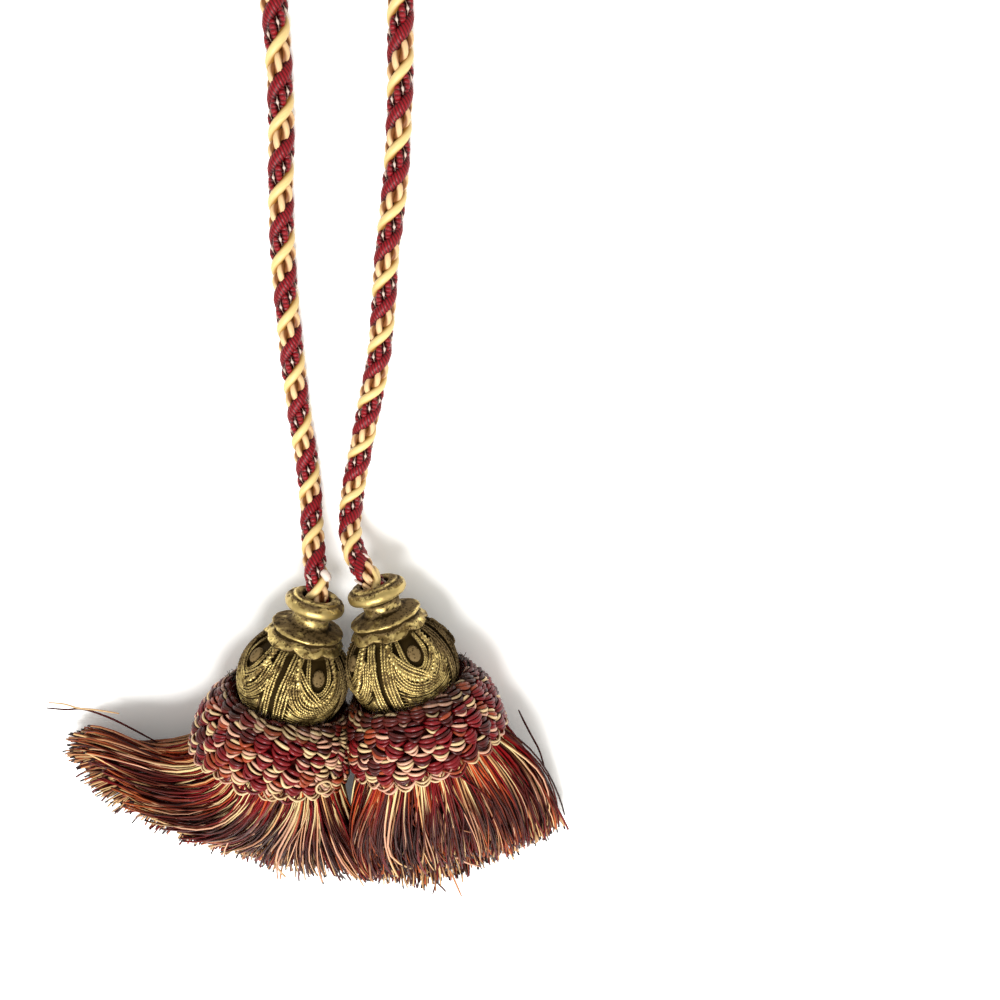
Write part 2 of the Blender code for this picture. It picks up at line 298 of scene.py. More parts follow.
# %% [markdown]
# ## The rope
# Rope is strands laid round each other.  This one has four: a smooth cream satin cord, a thick burgundy gimp,
# which is a core wound with ribs of yarn, and two strands that are themselves a pair of plies twisted the
# other way.  A screwed section could draw one of them, but not a twist inside a twist.  So each strand is a
# tube round a helix, and each ply a tube round a helix round that helix.  First comes the line that they all
# turn round: a smooth curve through the route's points, measured out in even steps, with a side that is
# carried along it without twisting.

# %% The rope's route
ROPE_ROUTE = np.array((
    (4.5, 63.3, 25.7), (6.6, 69.7, 25.2), (8.6, 75.9, 24.6), (8.4, 82.1, 22.9), (7.3, 88.5, 19.3),
    (6.2, 96.5, 14.1), (5.4, 104.5, 9.6), (4.8, 113.5, 6.3), (4.1, 123.5, 4.9), (2.9, 136.5, 4.8),
    (1.7, 154.5, 4.8), (0.7, 181.5, 4.8), (0.5, 204.5, 4.8), (1.4, 226.5, 4.8), (3.1, 246.5, 4.8),
    (3.9, 268.5, 4.8), (3.5, 288.5, 4.8), (1.4, 315.0, 4.8), (-0.9, 345.0, 4.8), (0.9, 371.0, 4.8),
    (9.6, 391.0, 4.8), (25.1, 400.0, 4.8), (40.6, 391.0, 4.8), (49.3, 371.0, 4.8), (51.1, 345.0, 4.8),
    (48.8, 315.0, 4.8), (46.5, 288.5, 4.8), (45.4, 261.5, 4.8), (43.4, 236.5, 4.8), (41.1, 219.5, 4.8),
    (38.4, 202.5, 4.8), (36.4, 183.5, 4.8), (33.7, 164.5, 4.8), (29.7, 147.5, 4.8), (26.1, 132.0, 4.8),
    (23.1, 119.5, 5.0), (21.3, 109.5, 6.6), (20.6, 101.5, 10.0), (21.5, 94.5, 14.8), (24.4, 88.4, 19.8),
    (28.7, 83.5, 23.4), (32.5, 77.1, 24.9), (34.9, 68.8, 25.7),
)) * MM
ROUTE_STEP = 0.5 * MM


def smooth_line(points, detail):
    """A curve through the points that runs, at each, along the line from the one before to the one after."""
    padded = np.concatenate([2 * points[:1] - points[1:2], points, 2 * points[-1:] - points[-2:-1]])
    before, start, end, after = padded[:-3], padded[1:-2], padded[2:-1], padded[3:]
    t = (np.arange(detail) / detail)[None, :, None]
    before, start, end, after = (p[:, None] for p in (before, start, end, after))
    curve = 0.5 * (2 * start + (end - before) * t + (2 * before - 5 * start + 4 * end - after) * t ** 2
                   + (3 * start - before - 3 * end + after) * t ** 3)
    return np.concatenate([curve.reshape(-1, points.shape[1]), points[-1:]])


def distances(line):
    """How far along the line each of its points is."""
    return np.concatenate([[0.0], np.cumsum(np.linalg.norm(np.diff(line, axis=0), axis=1))])


def read_line(at, marks, values):
    return np.stack([np.interp(at, marks, values[:, i]) for i in range(values.shape[1])], axis=-1)


def even_line(points, step, detail=24):
    curve = smooth_line(points, detail)
    marks = distances(curve)
    return read_line(np.linspace(0, marks[-1], round(marks[-1] / step) + 1), marks, curve)


def carried_side(line, side):
    """The side, turned only as much as the line itself turns."""
    ahead = unit(np.gradient(line, axis=0))
    sides = np.empty_like(line)
    for k, direction in enumerate(ahead):
        side = unit(side - direction * side.dot(direction))
        sides[k] = side
    return sides, np.cross(ahead, sides)


rope_line = even_line(ROPE_ROUTE, ROUTE_STEP)
rope_marks = distances(rope_line)
rope_side, rope_other = carried_side(rope_line, np.array([1.0, 0.0, 0.0]))
ROPE_LENGTH = rope_marks[-1]
print(f"rope: {ROPE_LENGTH:.4f} m of centre line in {len(rope_line)} points")

# %% Strands
ROPE_PITCH = 24.1 * MM              # along the middle of the rope
EXTRA_TWIST = 14.5                  # more turns for each metre, at a finial
EXTRA_REACH = 80 * MM               # how far from a finial the extra twist fades
START_TURN = 251.0                  # of the cream strand at the left end, in degrees
LEFT_SLIP = 0.30                    # turns by which the strands slipped back where the left end was glued
SLIP_REACH = 35 * MM
# where each strand stands in the rope's section, in degrees
CREAM_TURN, FINGER_TURN, GIMP_TURN, BEAD_TURN = 0, 90, 180, 270


def rope_turns(at):
    """Turns of the rope up to a distance along it: its twist was pushed up against both finials."""
    fade = np.exp(-at / EXTRA_REACH), np.exp((at - ROPE_LENGTH) / EXTRA_REACH)
    even = at / ROPE_PITCH + EXTRA_TWIST * EXTRA_REACH * (1 - fade[0] + fade[1]) + START_TURN / 360
    return even + LEFT_SLIP * np.exp(-at / SLIP_REACH)


def strand_frame(at, turn, radius):
    """A strand's line, the way out of the rope, and across the strand, at distances along the rope."""
    centre, side, other = (read_line(at, rope_marks, v) for v in (rope_line, rope_side, rope_other))
    angle = (2 * np.pi * rope_turns(at) + math.radians(turn))[:, None]
    out = unit(side * np.cos(angle) + other * np.sin(angle))
    line = centre + out * radius
    ahead = unit(np.gradient(line, axis=0))
    across = unit(np.cross(ahead, out))
    return line, np.cross(across, ahead), across, ahead


def lay_tube(heap, line, out, across, high, wide, sides, dye, finish, lean=None):
    """One tube of the heap round a line.  lean is a shift along the tube for each of its sides."""
    points, up, aside = ring_points(line, out, across, high, wide, sides)
    if lean is not None:
        points = points + lean
    heap.add_tubes(points[None], dye, distances(line)[None], up[None], aside[None], finish)


def even_marks(per_turn):
    return np.linspace(0, ROPE_LENGTH, round(ROPE_LENGTH / ROPE_PITCH * per_turn) + 1)


rope_heap = Heap()
print(f"turns from finial to finial: {rope_turns(ROPE_LENGTH) - rope_turns(0.0):.1f}")

# %% [markdown]
# The satin cord is plain.  The gimp's ribs are modelled: for each rib the tube has one narrow ring and two
# wide ones, and every ring is sheared along the strand, because the yarn is wound on at a slant.  The narrow
# ring is dyed dark, as painted shade in the groove between two ribs.

# %% Satin cord and gimp
CREAM_OUT, CREAM_HIGH, CREAM_WIDE = 3.00 * MM, 1.70 * MM, 1.75 * MM
GIMP_OUT, GIMP_HIGH, GIMP_WIDE = 2.60 * MM, 2.10 * MM, 2.40 * MM
RIB = 0.93 * MM
RIB_SHEAR = -1.2 * MM
RIB_RINGS = ((0.0, 0.90), (0.3, 1.02), (0.7, 1.02))     # place in the rib and share of the full size
CORE_OUT, CORE_R = 0.01 * MM, 2.1 * MM
GIMP_SIDES = 10
GROOVE_SHADE = 0.20                   # painted shade between the ribs: the share of the dye that is left there

# a core under the strands, dyed near black as painted shade for the gaps between them
core = strand_frame(even_marks(8), 0, CORE_OUT)
lay_tube(rope_heap, *core[:3], CORE_R, CORE_R, 8, CORE_SHADE, 2)

cream = strand_frame(even_marks(25), CREAM_TURN, CREAM_OUT)
lay_tube(rope_heap, *cream[:3], CREAM_HIGH, CREAM_WIDE, 12, CREAM_SATIN, 0)

gimp_length = ROPE_LENGTH * math.hypot(1, 2 * math.pi * GIMP_OUT / ROPE_PITCH)
rib_count = int(gimp_length / RIB)
rib_places = (np.arange(rib_count)[:, None] + np.array([place for place, _ in RIB_RINGS])).ravel()
rib_sizes = np.tile([size for _, size in RIB_RINGS], rib_count)
line, out, across, ahead = strand_frame(rib_places / rib_count * ROPE_LENGTH, GIMP_TURN, GIMP_OUT)
slant = np.sin(2 * np.pi * np.arange(GIMP_SIDES) / GIMP_SIDES) * RIB_SHEAR
# the narrow rings get painted shade, for the grooves between the ribs
gimp_shaded_dye = np.where(rib_sizes < 1, GROOVE_SHADE, 1.0)[:, None, None] * BURGUNDY
lay_tube(rope_heap, line, out, across, GIMP_HIGH * rib_sizes, GIMP_WIDE * rib_sizes, GIMP_SIDES, gimp_shaded_dye, 1,
         lean=slant[None, :, None] * ahead[:, None, :])
print(f"gimp: {rib_count} ribs")

# %% [markdown]
# The plied strands turn left while the rope turns right, so their plies lie almost straight along it and
# look like small fingers.  The burgundy pair has a thin white yarn in both of its grooves.  It is thick only
# where it comes to the top, so it shows as short flecks.

# %% Plied strands
PLIED_OUT = 2.20 * MM
PLY_TURNS = -3.28                   # of a pair of plies for one turn of the rope, the other way round
PLY_OUT, PLY_R = 1.24 * MM, 1.32 * MM
FLECK_OUT, FLECK_R = 1.82 * MM, 0.66 * MM
FLECK_THIN = 0.10                   # share of a fleck's thickness where the white yarn dives
FLECK_SHORT = 18                    # the higher, the shorter a fleck


def lay_ply(heap, per_turn, strand_turn, ply_turn, out_by, radius, sides, dye, finish, thin=1.0):
    at = even_marks(per_turn)
    line, out, across, _ = strand_frame(at, strand_turn, PLIED_OUT)
    angle = (2 * np.pi * PLY_TURNS * rope_turns(at) + math.radians(ply_turn))[:, None]
    radius = radius * (thin + (1 - thin) * np.maximum(np.cos(angle[:, 0]), 0) ** FLECK_SHORT)
    ply_out = out * np.cos(angle) + across * np.sin(angle)
    line = line + ply_out * out_by
    ahead = unit(np.gradient(line, axis=0))
    ply_across = unit(np.cross(ahead, ply_out))
    lay_tube(heap, line, np.cross(ply_across, ahead), ply_across, radius, radius, sides, dye, finish)


for half in (0, 180):
    lay_ply(rope_heap, 36, FINGER_TURN, half, PLY_OUT, PLY_R, 8, PEACH, 2)
    lay_ply(rope_heap, 36, BEAD_TURN, half, PLY_OUT, PLY_R, 8, BURGUNDY, 3)
    lay_ply(rope_heap, 60, BEAD_TURN, half + 90, FLECK_OUT, FLECK_R, 5, WHITE_TWIST, 4, thin=FLECK_THIN)
print(f"the rope has {rope_heap.count:,} points now")

# %% [markdown]
# Where the rope was cut and glued, a few yarns came loose and curl at the mouths of the finials.

# %% Loose yarns at the mouths
# one row for each loose yarn: its thickness in mm, its dye and its points in mm
MOUTH_YARNS = (
    (3.3, WHITE_TWIST, ((11.0, 86.0, 24.4), (12.6, 84.6, 25.4), (13.4, 82.6, 25.6))),
    (0.9, WHITE_TWIST, ((5.1, 84.9, 25.0), (6.1, 83.9, 26.0), (7.3, 83.5, 26.8))),
    (1.0, PEACH, ((12.4, 76.8, 28.0), (11.7, 74.1, 27.0))),
    (1.2, WHITE_TWIST, ((26.5, 91.9, 21.0), (29.2, 90.5, 21.5))),
    (1.7, CREAM_SATIN, ((29.2, 88.1, 23.0), (31.8, 84.9, 26.0), (32.6, 83.0, 27.6), (32.4, 79.7, 27.0))),
    (1.5, PEACH, ((28.3, 85.4, 26.5), (30.8, 83.4, 28.4))),
    (1.5, PEACH, ((27.1, 82.5, 28.2), (30.3, 79.8, 28.4))),
    (1.1, WHITE_TWIST, ((23.6, 82.5, 25.0), (26.7, 82.0, 28.0))),
)


def lay_loose(heap, rows, finish, sides=8):
    """Short yarns through points in mm, thinner at both ends."""
    for thick, dye, points in rows:
        line = even_line(np.array(points) * MM, 0.5 * MM)
        side, other = carried_side(line, np.array([0.3, 0.2, 1.0]))
        t = np.linspace(-1, 1, len(line))
        radius = thick / 2 * MM * (1 - 0.35 * t ** 4)
        lay_tube(heap, line, side, other, radius, radius, sides, dye, finish)


lay_loose(rope_heap, MOUTH_YARNS, 4)
rope = rope_heap.make("rope_strands", [satin, gimp, plied, ribbed, fleck])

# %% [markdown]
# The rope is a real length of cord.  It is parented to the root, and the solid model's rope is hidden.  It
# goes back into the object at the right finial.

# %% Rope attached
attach(rope, "root")
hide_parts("rope")
print(f"cord of {ROPE_LENGTH:.4f} m declared")

# %% [markdown]
# ## The finials
# Each rope end goes into a finial, a turned top with a ring, a short neck, a wavy collar and a ball, cast in
# resin, gilded and rubbed with dark wax.  The turned part is a profile that is spun round the axis.  The
# ball's strapwork is modelled as what its mould was taken from: thin twisted cords, laid side by side over a
# ball.  Every point carries how deep in a hollow it lies, because wax stays in the hollows and gold shows on
# top.

# %% Where the tassels lie
BALL_HEIGHT = 27.5
# one row for each tassel: ball's middle in mm, lean of the axis from +Y to +X and its dip, in degrees
TASSEL_PLACES = {"left": ((-2.8, 40.9), 18.0, 4.5), "right": ((41.4, 46.1), -16.6, 4.5)}


def tassel_axis(name):
    """+Z along the axis, towards the rope, +X to the right in the picture, +Y down into the table."""
    (x, y), lean, dip = TASSEL_PLACES[name]
    place = Matrix.Translation(Vector((x, y, BALL_HEIGHT)) * MM)
    turn = Matrix.Rotation(math.radians(-lean), 4, "Z") @ Matrix.Rotation(math.radians(-90 - dip), 4, "X")
    return place @ turn


def into_place(axis, points):
    turn, shift = np.array(axis.to_3x3()), np.array(axis.translation)
    return points @ turn.T + shift


print({name: [round(v, 3) for v in tassel_axis(name).translation] for name in TASSEL_PLACES})

# %% Turned profile
# one row for each bend of the profile, from the floor of the socket, over the ring and down to the ball:
# radius and height in mm, share of the hollow's wax, share of the collar's waves
NECK_PROFILE = np.array((
    (5.5, 23.0, 1.0, 0), (5.5, 29.0, 1.0, 0), (5.5, 34.6, 1.0, 0), (5.7, 36.0, 0.7, 0), (6.3, 36.7, 0.25, 0),
    (7.4, 36.9, 0.28, 0), (8.5, 36.8, 0.24, 0), (9.0, 36.5, 0.0, 0), (9.3, 36.1, 0.32, 0),
    (9.6, 35.8, 0.52, 0), (10.1, 35.65, 0.34, 0), (10.9, 35.15, 0.12, 0), (11.55, 34.2, 0.0, 0),
    (11.75, 33.1, 0, 0), (11.5, 32.0, 0, 0), (10.7, 31.1, 0.15, 0), (9.5, 30.6, 0.5, 0), (8.3, 30.3, 1.0, 0),
    (7.6, 29.5, 0.6, 0), (7.3, 28.0, 0.1, 0), (7.35, 26.6, 0.2, 0), (7.7, 25.6, 0.5, 0), (8.3, 24.9, 0.7, 0),
    (9.4, 24.5, 0.42, 0), (11.2, 24.0, 0.38, 0), (13.1, 23.5, 0.38, 0), (13.9, 23.2, 0.2, 0),
    (14.2, 22.8, 0.0, 0.1), (14.1, 22.3, 0.2, 0.1), (13.5, 21.8, 0.9, 0.2), (13.1, 21.2, 1.0, 0.3),
    (13.3, 20.6, 0.5, 0.5), (13.9, 19.9, 0.12, 0.7), (14.5, 19.2, 0.06, 0.9), (15.0, 18.5, 0.06, 1.0),
    (15.3, 17.9, 0.15, 1.0), (15.2, 17.4, 0.6, 0.9), (14.6, 17.2, 1.0, 0.7),
)) * (MM, MM, 1, 1)
PROFILE_DETAIL = 2
SOCKET_RINGS = 12                   # the first rings, which stay round where the rope is glued in
TURNED_SIDES = 132
WAVES = 7
WAVE_OUT, WAVE_UP = 0.6 * MM, 0.9 * MM
WAVE_SWAY, WAVE_POINT = 0.35, 0.8   # how unevenly the waves are spread, and how pointed they are
BALL_R = 21.9 * MM                  # of the smooth belly, just inside the strapwork
BALL_TOP, BALL_FOOT = 49.0, -67.0   # latitudes in degrees
BALL_RINGS = 84


def ripple(points, size, seed):
    """Smooth, uneven values between about -1 and 1, with bumps of that size."""
    chance = np.random.default_rng(seed)
    total = np.zeros(points.shape[:-1])
    for _ in range(7):
        direction = unit(chance.normal(size=3)) * 2 * np.pi / size * chance.uniform(0.6, 1.3)
        total += np.sin(points @ direction + chance.uniform(0, 2 * np.pi))
    return total / 2.6


print(f"profile of {len(NECK_PROFILE)} bends, {len(NECK_PROFILE) * PROFILE_DETAIL} rings")


# %% [markdown]
# The strapwork repeats four times round the ball: a pair of upright bands with a dark slot between them, a
# deep swag, a swag of one thick rope and a shallow one, all hung from the collar, two bands that cross them,
# and a small boss.  Below the swags the belly is smooth but for fine threads.  All of it is drawn in
# longitude and latitude, where a swag is a few points, and then laid on the ball.  Under the cords of a
# strap lies a flat ribbon, which holds them together.

# %% Strapwork
REPEATS = 4
CORD_OVAL = 0.28
CORD_STEP = 0.42 * MM
CORD_WOBBLE = 0.16 * MM
# one row for each strap: cords side by side, a cord's radius, the spacing of the cords, the length of a
# cord's twist and its lift over the belly, in mm, and the strap's points in degrees of longitude and latitude
STRAPS = (
    (3, 0.47, 1.30, 2.3, 0.00, ((-8, -52), (-7.5, -22), (-7.0, 5), (-8, 25), (-10, 50))),
    (4, 0.47, 1.25, 2.3, 0.00, ((10, -52), (9, -22), (8.5, 5), (10, 25), (14, 50))),
    (5, 0.44, 1.05, 2.3, -0.30, ((15, 32), (18, 12), (29, -4), (45, -9.5), (61, -4), (73, 12), (77, 32))),
    (1, 1.05, 1.00, 3.4, 0.00, ((16, 46), (21, 24), (31, 7), (44, 1), (57, 7), (65, 24), (67, 48))),
    (2, 0.42, 0.90, 2.0, -0.30, ((29, 50), (31, 27), (37, 15), (44, 12), (51, 15), (57, 27), (59, 50))),
    (3, 0.42, 1.15, 2.2, 0.35, ((16, 36), (25, 25), (36, 13), (46, 4), (55, -4))),
    (2, 0.42, 1.15, 2.2, 0.20, ((72, 34), (63, 22), (54, 12), (46, 6))),
)
RIBBON_HALF = 0.55 * MM             # of its thickness
BELLY_THREADS = 6
THREAD_R = 0.24 * MM
THREAD_STEP = 2.9                   # degrees of latitude from one thread to the next


def ball_points(degrees):
    longitude, latitude = np.radians(degrees[:, 0]), np.radians(degrees[:, 1])
    return np.stack([np.cos(latitude) * np.cos(longitude), np.cos(latitude) * np.sin(longitude),
                     np.sin(latitude)], axis=-1)


def ball_line(rows, aside, radius, step, seed=None):
    """A line on the ball through rows of longitude and latitude, moved aside by some length."""
    out = unit(ball_points(smooth_line(np.array(rows, float), 12)))
    if seed is not None:
        aside = aside + CORD_WOBBLE * ripple(out * radius, 8 * MM, seed)[:, None]
    out = unit(out * radius + np.cross(out, unit(np.gradient(out, axis=0))) * aside)
    marks = distances(out * radius)
    even = np.linspace(0, marks[-1], max(2, round(marks[-1] / step)) + 1)
    return unit(read_line(even, marks, out)) * radius


def cord_rings(line, radius, oval, twist, sides):
    """A tube with an oval section that turns as it goes, so that it reads as two plies."""
    out = unit(line)
    ahead = unit(np.gradient(line, axis=0))
    across = unit(np.cross(ahead, out))
    turn = (2 * np.pi * distances(line) / twist)[:, None]
    lobe = out * np.cos(turn) + across * np.sin(turn)
    return ring_points(line, lobe, np.cross(ahead, lobe), radius * (1 + oval), radius * (1 - oval), sides)


def repeated(rows, repeat, start):
    return [(longitude + start + 360 * repeat / REPEATS, latitude) for longitude, latitude in rows]


def strap_lines(start):
    """Rows of line, radius and twist of all cords, rows of line and half width of the ribbons, and the lines
    of the belly's threads."""
    cords, ribbons, threads = [], [], []
    for repeat in range(REPEATS):
        for count, radius, spacing, twist, lift, rows in STRAPS:
            rows = repeated(rows, repeat, start)
            for k in range(count):
                aside = (k - (count - 1) / 2) * spacing * MM
                line = ball_line(rows, aside, BALL_R + lift * MM, CORD_STEP, seed=10 * repeat + k)
                cords.append((line, radius * MM, twist * MM))
            if count > 1:
                line = ball_line(rows, 0, BALL_R + lift * MM - RIBBON_HALF, 3 * CORD_STEP)
                ribbons.append((line, (count - 1) / 2 * spacing * MM + 0.5 * radius * MM))
        for k in range(BELLY_THREADS):
            low = THREAD_STEP * k
            end = 2 - 1.6 * low
            rows = ((15, end), (28, -9 - low), (45, -12.5 - low), (62, -9 - low), (75, end))
            threads.append(ball_line(repeated(rows, repeat, start), 0, BALL_R, 2.5 * CORD_STEP))
    return cords, ribbons, threads


print(f"cords on a ball: {REPEATS * sum(strap[0] for strap in STRAPS)}")

# %% [markdown]
# The gilding is a thin coat of gold on the resin.  It is bright where a cloth rubbed the wax off, dull in
# the shallow hollows, and dark brown where the wax stayed.  A metal shader alone would look new, so the
# depth of the hollows mixes three golds and the wax, and takes the metal's shine away with them.  Noise
# frays the edge of the wax, and sets patches of wear and small pits on the rough parts.

# %% Gilt finish
GOLD = (0.86, 0.67, 0.26, 1)
OLD_GOLD = (0.16, 0.105, 0.035, 1)
DULL_GOLD = (0.135, 0.090, 0.038, 1)
WAX = (0.020, 0.011, 0.0015, 1)
PIT_SCALE, WEAR_SCALE, SPECK_SCALE = 900, 260, 1000
OLD_SHARE = 0.65                    # of the old gold, on average
METAL_SHINE = 0.92
BRIGHT_ROUGH, WAX_ROUGH = 0.43, 0.75


def gilt_material():
    """In a finial, dye holds how deep in a hollow a point lies, and on the cords also painted shade on the
    ball's sides.
    """
    material, tree, shader = new_material("waxed gilt")
    hollow = add_node(tree, "ShaderNodeAttribute", attribute_name="dye").outputs["Fac"]
    place = add_node(tree, "ShaderNodeTexCoord").outputs["Object"]
    pits = noise(tree, place, PIT_SCALE, 4, 0.65)
    rough_part = ramp(tree, hollow, 0.0, 0.05)
    dull = ramp(tree, hollow, 0.08, 0.40, smooth=True)
    # wax in the hollows, with a frayed edge, and in specks on the rough parts; on the cords, painted shade on
    # the ball's sides comes in here too
    deep = maths(tree, "ADD", hollow, ramp(tree, pits, 0.3, 0.7, -0.22, 0.22), clamp=True)
    in_hollows = ramp(tree, deep, 0.42, 0.72, smooth=True)
    specks = ramp(tree, noise(tree, place, SPECK_SCALE, 1), 0.57, 0.65, 0.0, 0.9)
    waxed = maths(tree, "MAXIMUM", in_hollows, maths(tree, "MULTIPLY", specks, rough_part))
    # patches of wear on the rough parts
    patches = ramp(tree, noise(tree, place, WEAR_SCALE, 3, 0.6), 0.36, 0.62, -0.5, 0.5)
    wear = maths(tree, "MULTIPLY_ADD", patches, rough_part, OLD_SHARE, clamp=True)
    gold = mix_colours(tree, wear, GOLD, OLD_GOLD)
    colour = mix_colours(tree, waxed, mix_colours(tree, dull, gold, DULL_GOLD), WAX)
    matte = maths(tree, "MAXIMUM", waxed, dull)
    tree.links.new(colour, shader.inputs["Base Color"])
    tree.links.new(ramp(tree, matte, 0.0, 1.0, METAL_SHINE, 0.0), shader.inputs["Metallic"])
    tree.links.new(ramp(tree, matte, 0.0, 1.0, BRIGHT_ROUGH, WAX_ROUGH), shader.inputs["Roughness"])
    add_relief(tree, shader, pits, 0.45, 0.25 * MM)
    shader.inputs["Specular IOR Level"].default_value = 0.06
    return material


gilt = gilt_material()
print("finish:", gilt.name)

# %% [markdown]
# The ground of the ball is sunk and dark between the straps, and comes up to a smooth gilt belly below the
# swags.  A k-d tree tells how far each of its points is from the nearest cord, which would be slow to find
# by trying them all.

# %% Turned part and ground
# longitude of the first pair of bands, where straight up is -90, and how much wax was left between the cords
STRAP_STARTS = {"left": (-101.0, 0.85), "right": (-103.0, 0.50)}
CAST_ROUGH = (0.06 * MM, 0.22 * MM, 0.08 * MM)      # anywhere, and more in the waves and in the hollows
BOSS_PLACE = (44, 29)
BOSS_TALL, BOSS_WIDE = 3.3 * MM, 2.5 * MM           # half its size up the ball and round it
BOSS_SIDES = 12
# one row for each ring of the boss: share of its size, and height over the belly in mm
BOSS_RINGS = np.array(((1.0, -1.6), (1.0, -0.5), (0.92, 0.0), (0.7, 0.3), (0.3, 0.4)))
GROUND_SINK = 1.3 * MM              # of the waxed ground between the straps, below the belly
HOLLOW_NEAR, HOLLOW_FAR = 0.9 * MM, 2.2 * MM
BELLY_SIDE = 30.0                   # how far the belly reaches to each side of a swag's middle, in degrees
BELLY_TOP = -6.0


def smooth_share(values, low, high):
    t = np.clip((values - low) / (high - low), 0, 1)
    return t * t * (3 - 2 * t)


def turned_rings(seed):
    """Points and hollows of the ring, neck and collar."""
    profile = smooth_line(NECK_PROFILE, PROFILE_DETAIL)
    angle = -2 * np.pi * np.arange(TURNED_SIDES) / TURNED_SIDES
    radius, height, hollow, wave = (np.repeat(column[:, None], TURNED_SIDES, 1) for column in profile.T)
    lobes = 1 - 2 * np.abs(np.sin(WAVES * angle / 2 + WAVE_SWAY * np.sin(3 * angle + seed))) ** WAVE_POINT
    radius = radius + wave * WAVE_OUT * -lobes
    height = height + wave * WAVE_UP * lobes
    smooth = np.stack([radius * np.cos(angle), radius * np.sin(angle), height], axis=-1)
    rough = CAST_ROUGH[0] + CAST_ROUGH[1] * wave + CAST_ROUGH[2] * hollow
    points = smooth + ways_round(angle)[0] * (rough * ripple(smooth, 3 * MM, seed))[..., None]
    points[:SOCKET_RINGS] = smooth[:SOCKET_RINGS]
    return points, np.clip(hollow + 0.14 * ripple(points, 5 * MM, seed + 1) * (hollow > 0.02), 0, 1)


def ball_rings(lines, start):
    """The ball's ground: sunk and waxed between the straps, smooth and gilt on the belly."""
    latitude = np.radians(np.linspace(BALL_TOP, BALL_FOOT, BALL_RINGS))[:, None]
    longitude = -2 * np.pi * np.arange(TURNED_SIDES)[None, :] / TURNED_SIDES
    out = np.stack([np.cos(latitude) * np.cos(longitude), np.cos(latitude) * np.sin(longitude),
                    np.sin(latitude) + 0 * longitude], axis=-1)
    marks = np.concatenate([line[::2] for line in lines])
    tree = KDTree(len(marks))
    for i, mark in enumerate(marks):
        tree.insert(mark, i)
    tree.balance()
    near = np.array([tree.find(point)[2] for point in (out * BALL_R).reshape(-1, 3)]).reshape(out.shape[:2])
    swing = 360 / REPEATS
    from_swag = np.abs((np.degrees(longitude) - start + 0 * latitude) % swing - swing / 2)
    under_swag = smooth_share(-from_swag, -BELLY_SIDE - 4, -BELLY_SIDE)
    low_enough = smooth_share(-np.degrees(latitude), -BELLY_TOP - 3, -BELLY_TOP + 3)
    hollow = 1 - under_swag * low_enough * smooth_share(near, HOLLOW_NEAR, HOLLOW_FAR)
    return out * (BALL_R - GROUND_SINK * hollow)[..., None], hollow


def boss_rings(repeat, start):
    out = ball_points(np.array(repeated([BOSS_PLACE], repeat, start)))[0]
    beside = unit(np.cross(UP, out))
    line = out * (BALL_R + BOSS_RINGS[:, 1:] * MM)
    ways = [np.broadcast_to(way, line.shape) for way in (np.cross(out, beside), beside)]
    sizes = [half * BOSS_RINGS[:, 0] for half in (BOSS_TALL, BOSS_WIDE)]
    return ring_points(line, *ways, *sizes, BOSS_SIDES)[0][:, ::-1]


print(f"ground: {BALL_RINGS} rings of {TURNED_SIDES} points")

# %% [markdown]
# A finial is one heap: the turned part and the ground as a single tube, then cords, ribbons, threads and
# bosses.  Each cord is waxed at its foot.  Where the ball's sides turn away from the light overhead, the
# cords are darkened more, as painted shade.

# %% Finials
# painted shade on the ball's sides, mixed in with the wax
SIDE_SHADE = {"left": 0.42, "right": 0.55}
FOOT_LOW, FOOT_HIGH = -0.35, 0.65   # of a cord's radius, the heights between which the wax ends
THREAD_HOLLOW, BOSS_HOLLOW = 0.05, 0.38


def cord_wax_and_shade(name, line, radius, points, seed):
    """How deep in a hollow each point of a cord lies, with painted shade where the ball turns from the light.
    """
    height = np.linalg.norm(points, axis=-1) - np.linalg.norm(line, axis=-1)[:, None]
    foot = 1 - smooth_share(height, FOOT_LOW * radius, FOOT_HIGH * radius)
    # painted shade on the ball's sides: darker the less a point faces up, away from the table
    flank_shade = 1 - smooth_share(-unit(points)[..., 1], 0.05, 0.72)
    deep = foot * (0.4 + 0.6 * STRAP_STARTS[name][1]) + SIDE_SHADE[name] * flank_shade
    return np.clip(deep + 0.10 * ripple(points, 9 * MM, seed), 0, 1)[None, ..., None]


def make_finial(name, seed):
    heap = Heap()
    axis = tassel_axis(name)
    start, wax_left = STRAP_STARTS[name]
    cords, ribbons, threads = strap_lines(start)

    def add_round(line, rings, hollow):
        points, up, aside = rings
        heap.add_tubes(into_place(axis, points)[None], hollow, distances(line)[None], up[None], aside[None])

    neck, neck_hollow = turned_rings(seed)
    ball, ball_hollow = ball_rings([cord[0] for cord in cords], start)
    body = np.concatenate([neck, ball])
    hollow = np.concatenate([neck_hollow, ball_hollow])[None, ..., None]
    heap.add_tubes(into_place(axis, body)[None], hollow, body[None, :, 0, 2], 0.0, 0.0)
    for line, radius, twist in cords:
        rings = cord_rings(line, radius, CORD_OVAL, twist, 7)
        add_round(line, rings, cord_wax_and_shade(name, line, radius, rings[0], seed))
    for line, half_width in ribbons:
        out = unit(line)
        across = unit(np.cross(unit(np.gradient(line, axis=0)), out))
        high = np.full(len(line), RIBBON_HALF)
        add_round(line, ring_points(line, out, across, high, half_width, 8), wax_left)
    for line in threads:
        add_round(line, cord_rings(line, THREAD_R, 0.0, 1.0, 5), THREAD_HOLLOW)
    for repeat in range(REPEATS):
        boss = boss_rings(repeat, start)
        heap.add_tubes(into_place(axis, boss)[None], BOSS_HOLLOW, np.zeros((1, len(boss))), 0.0, 0.0)
    finial = heap.make(f"gilt_finial_{name}", [gilt])
    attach(finial, "root")
    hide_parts(f"finial_{name}")


for name, seed in (("left", 3), ("right", 8)):
    make_finial(name, seed)

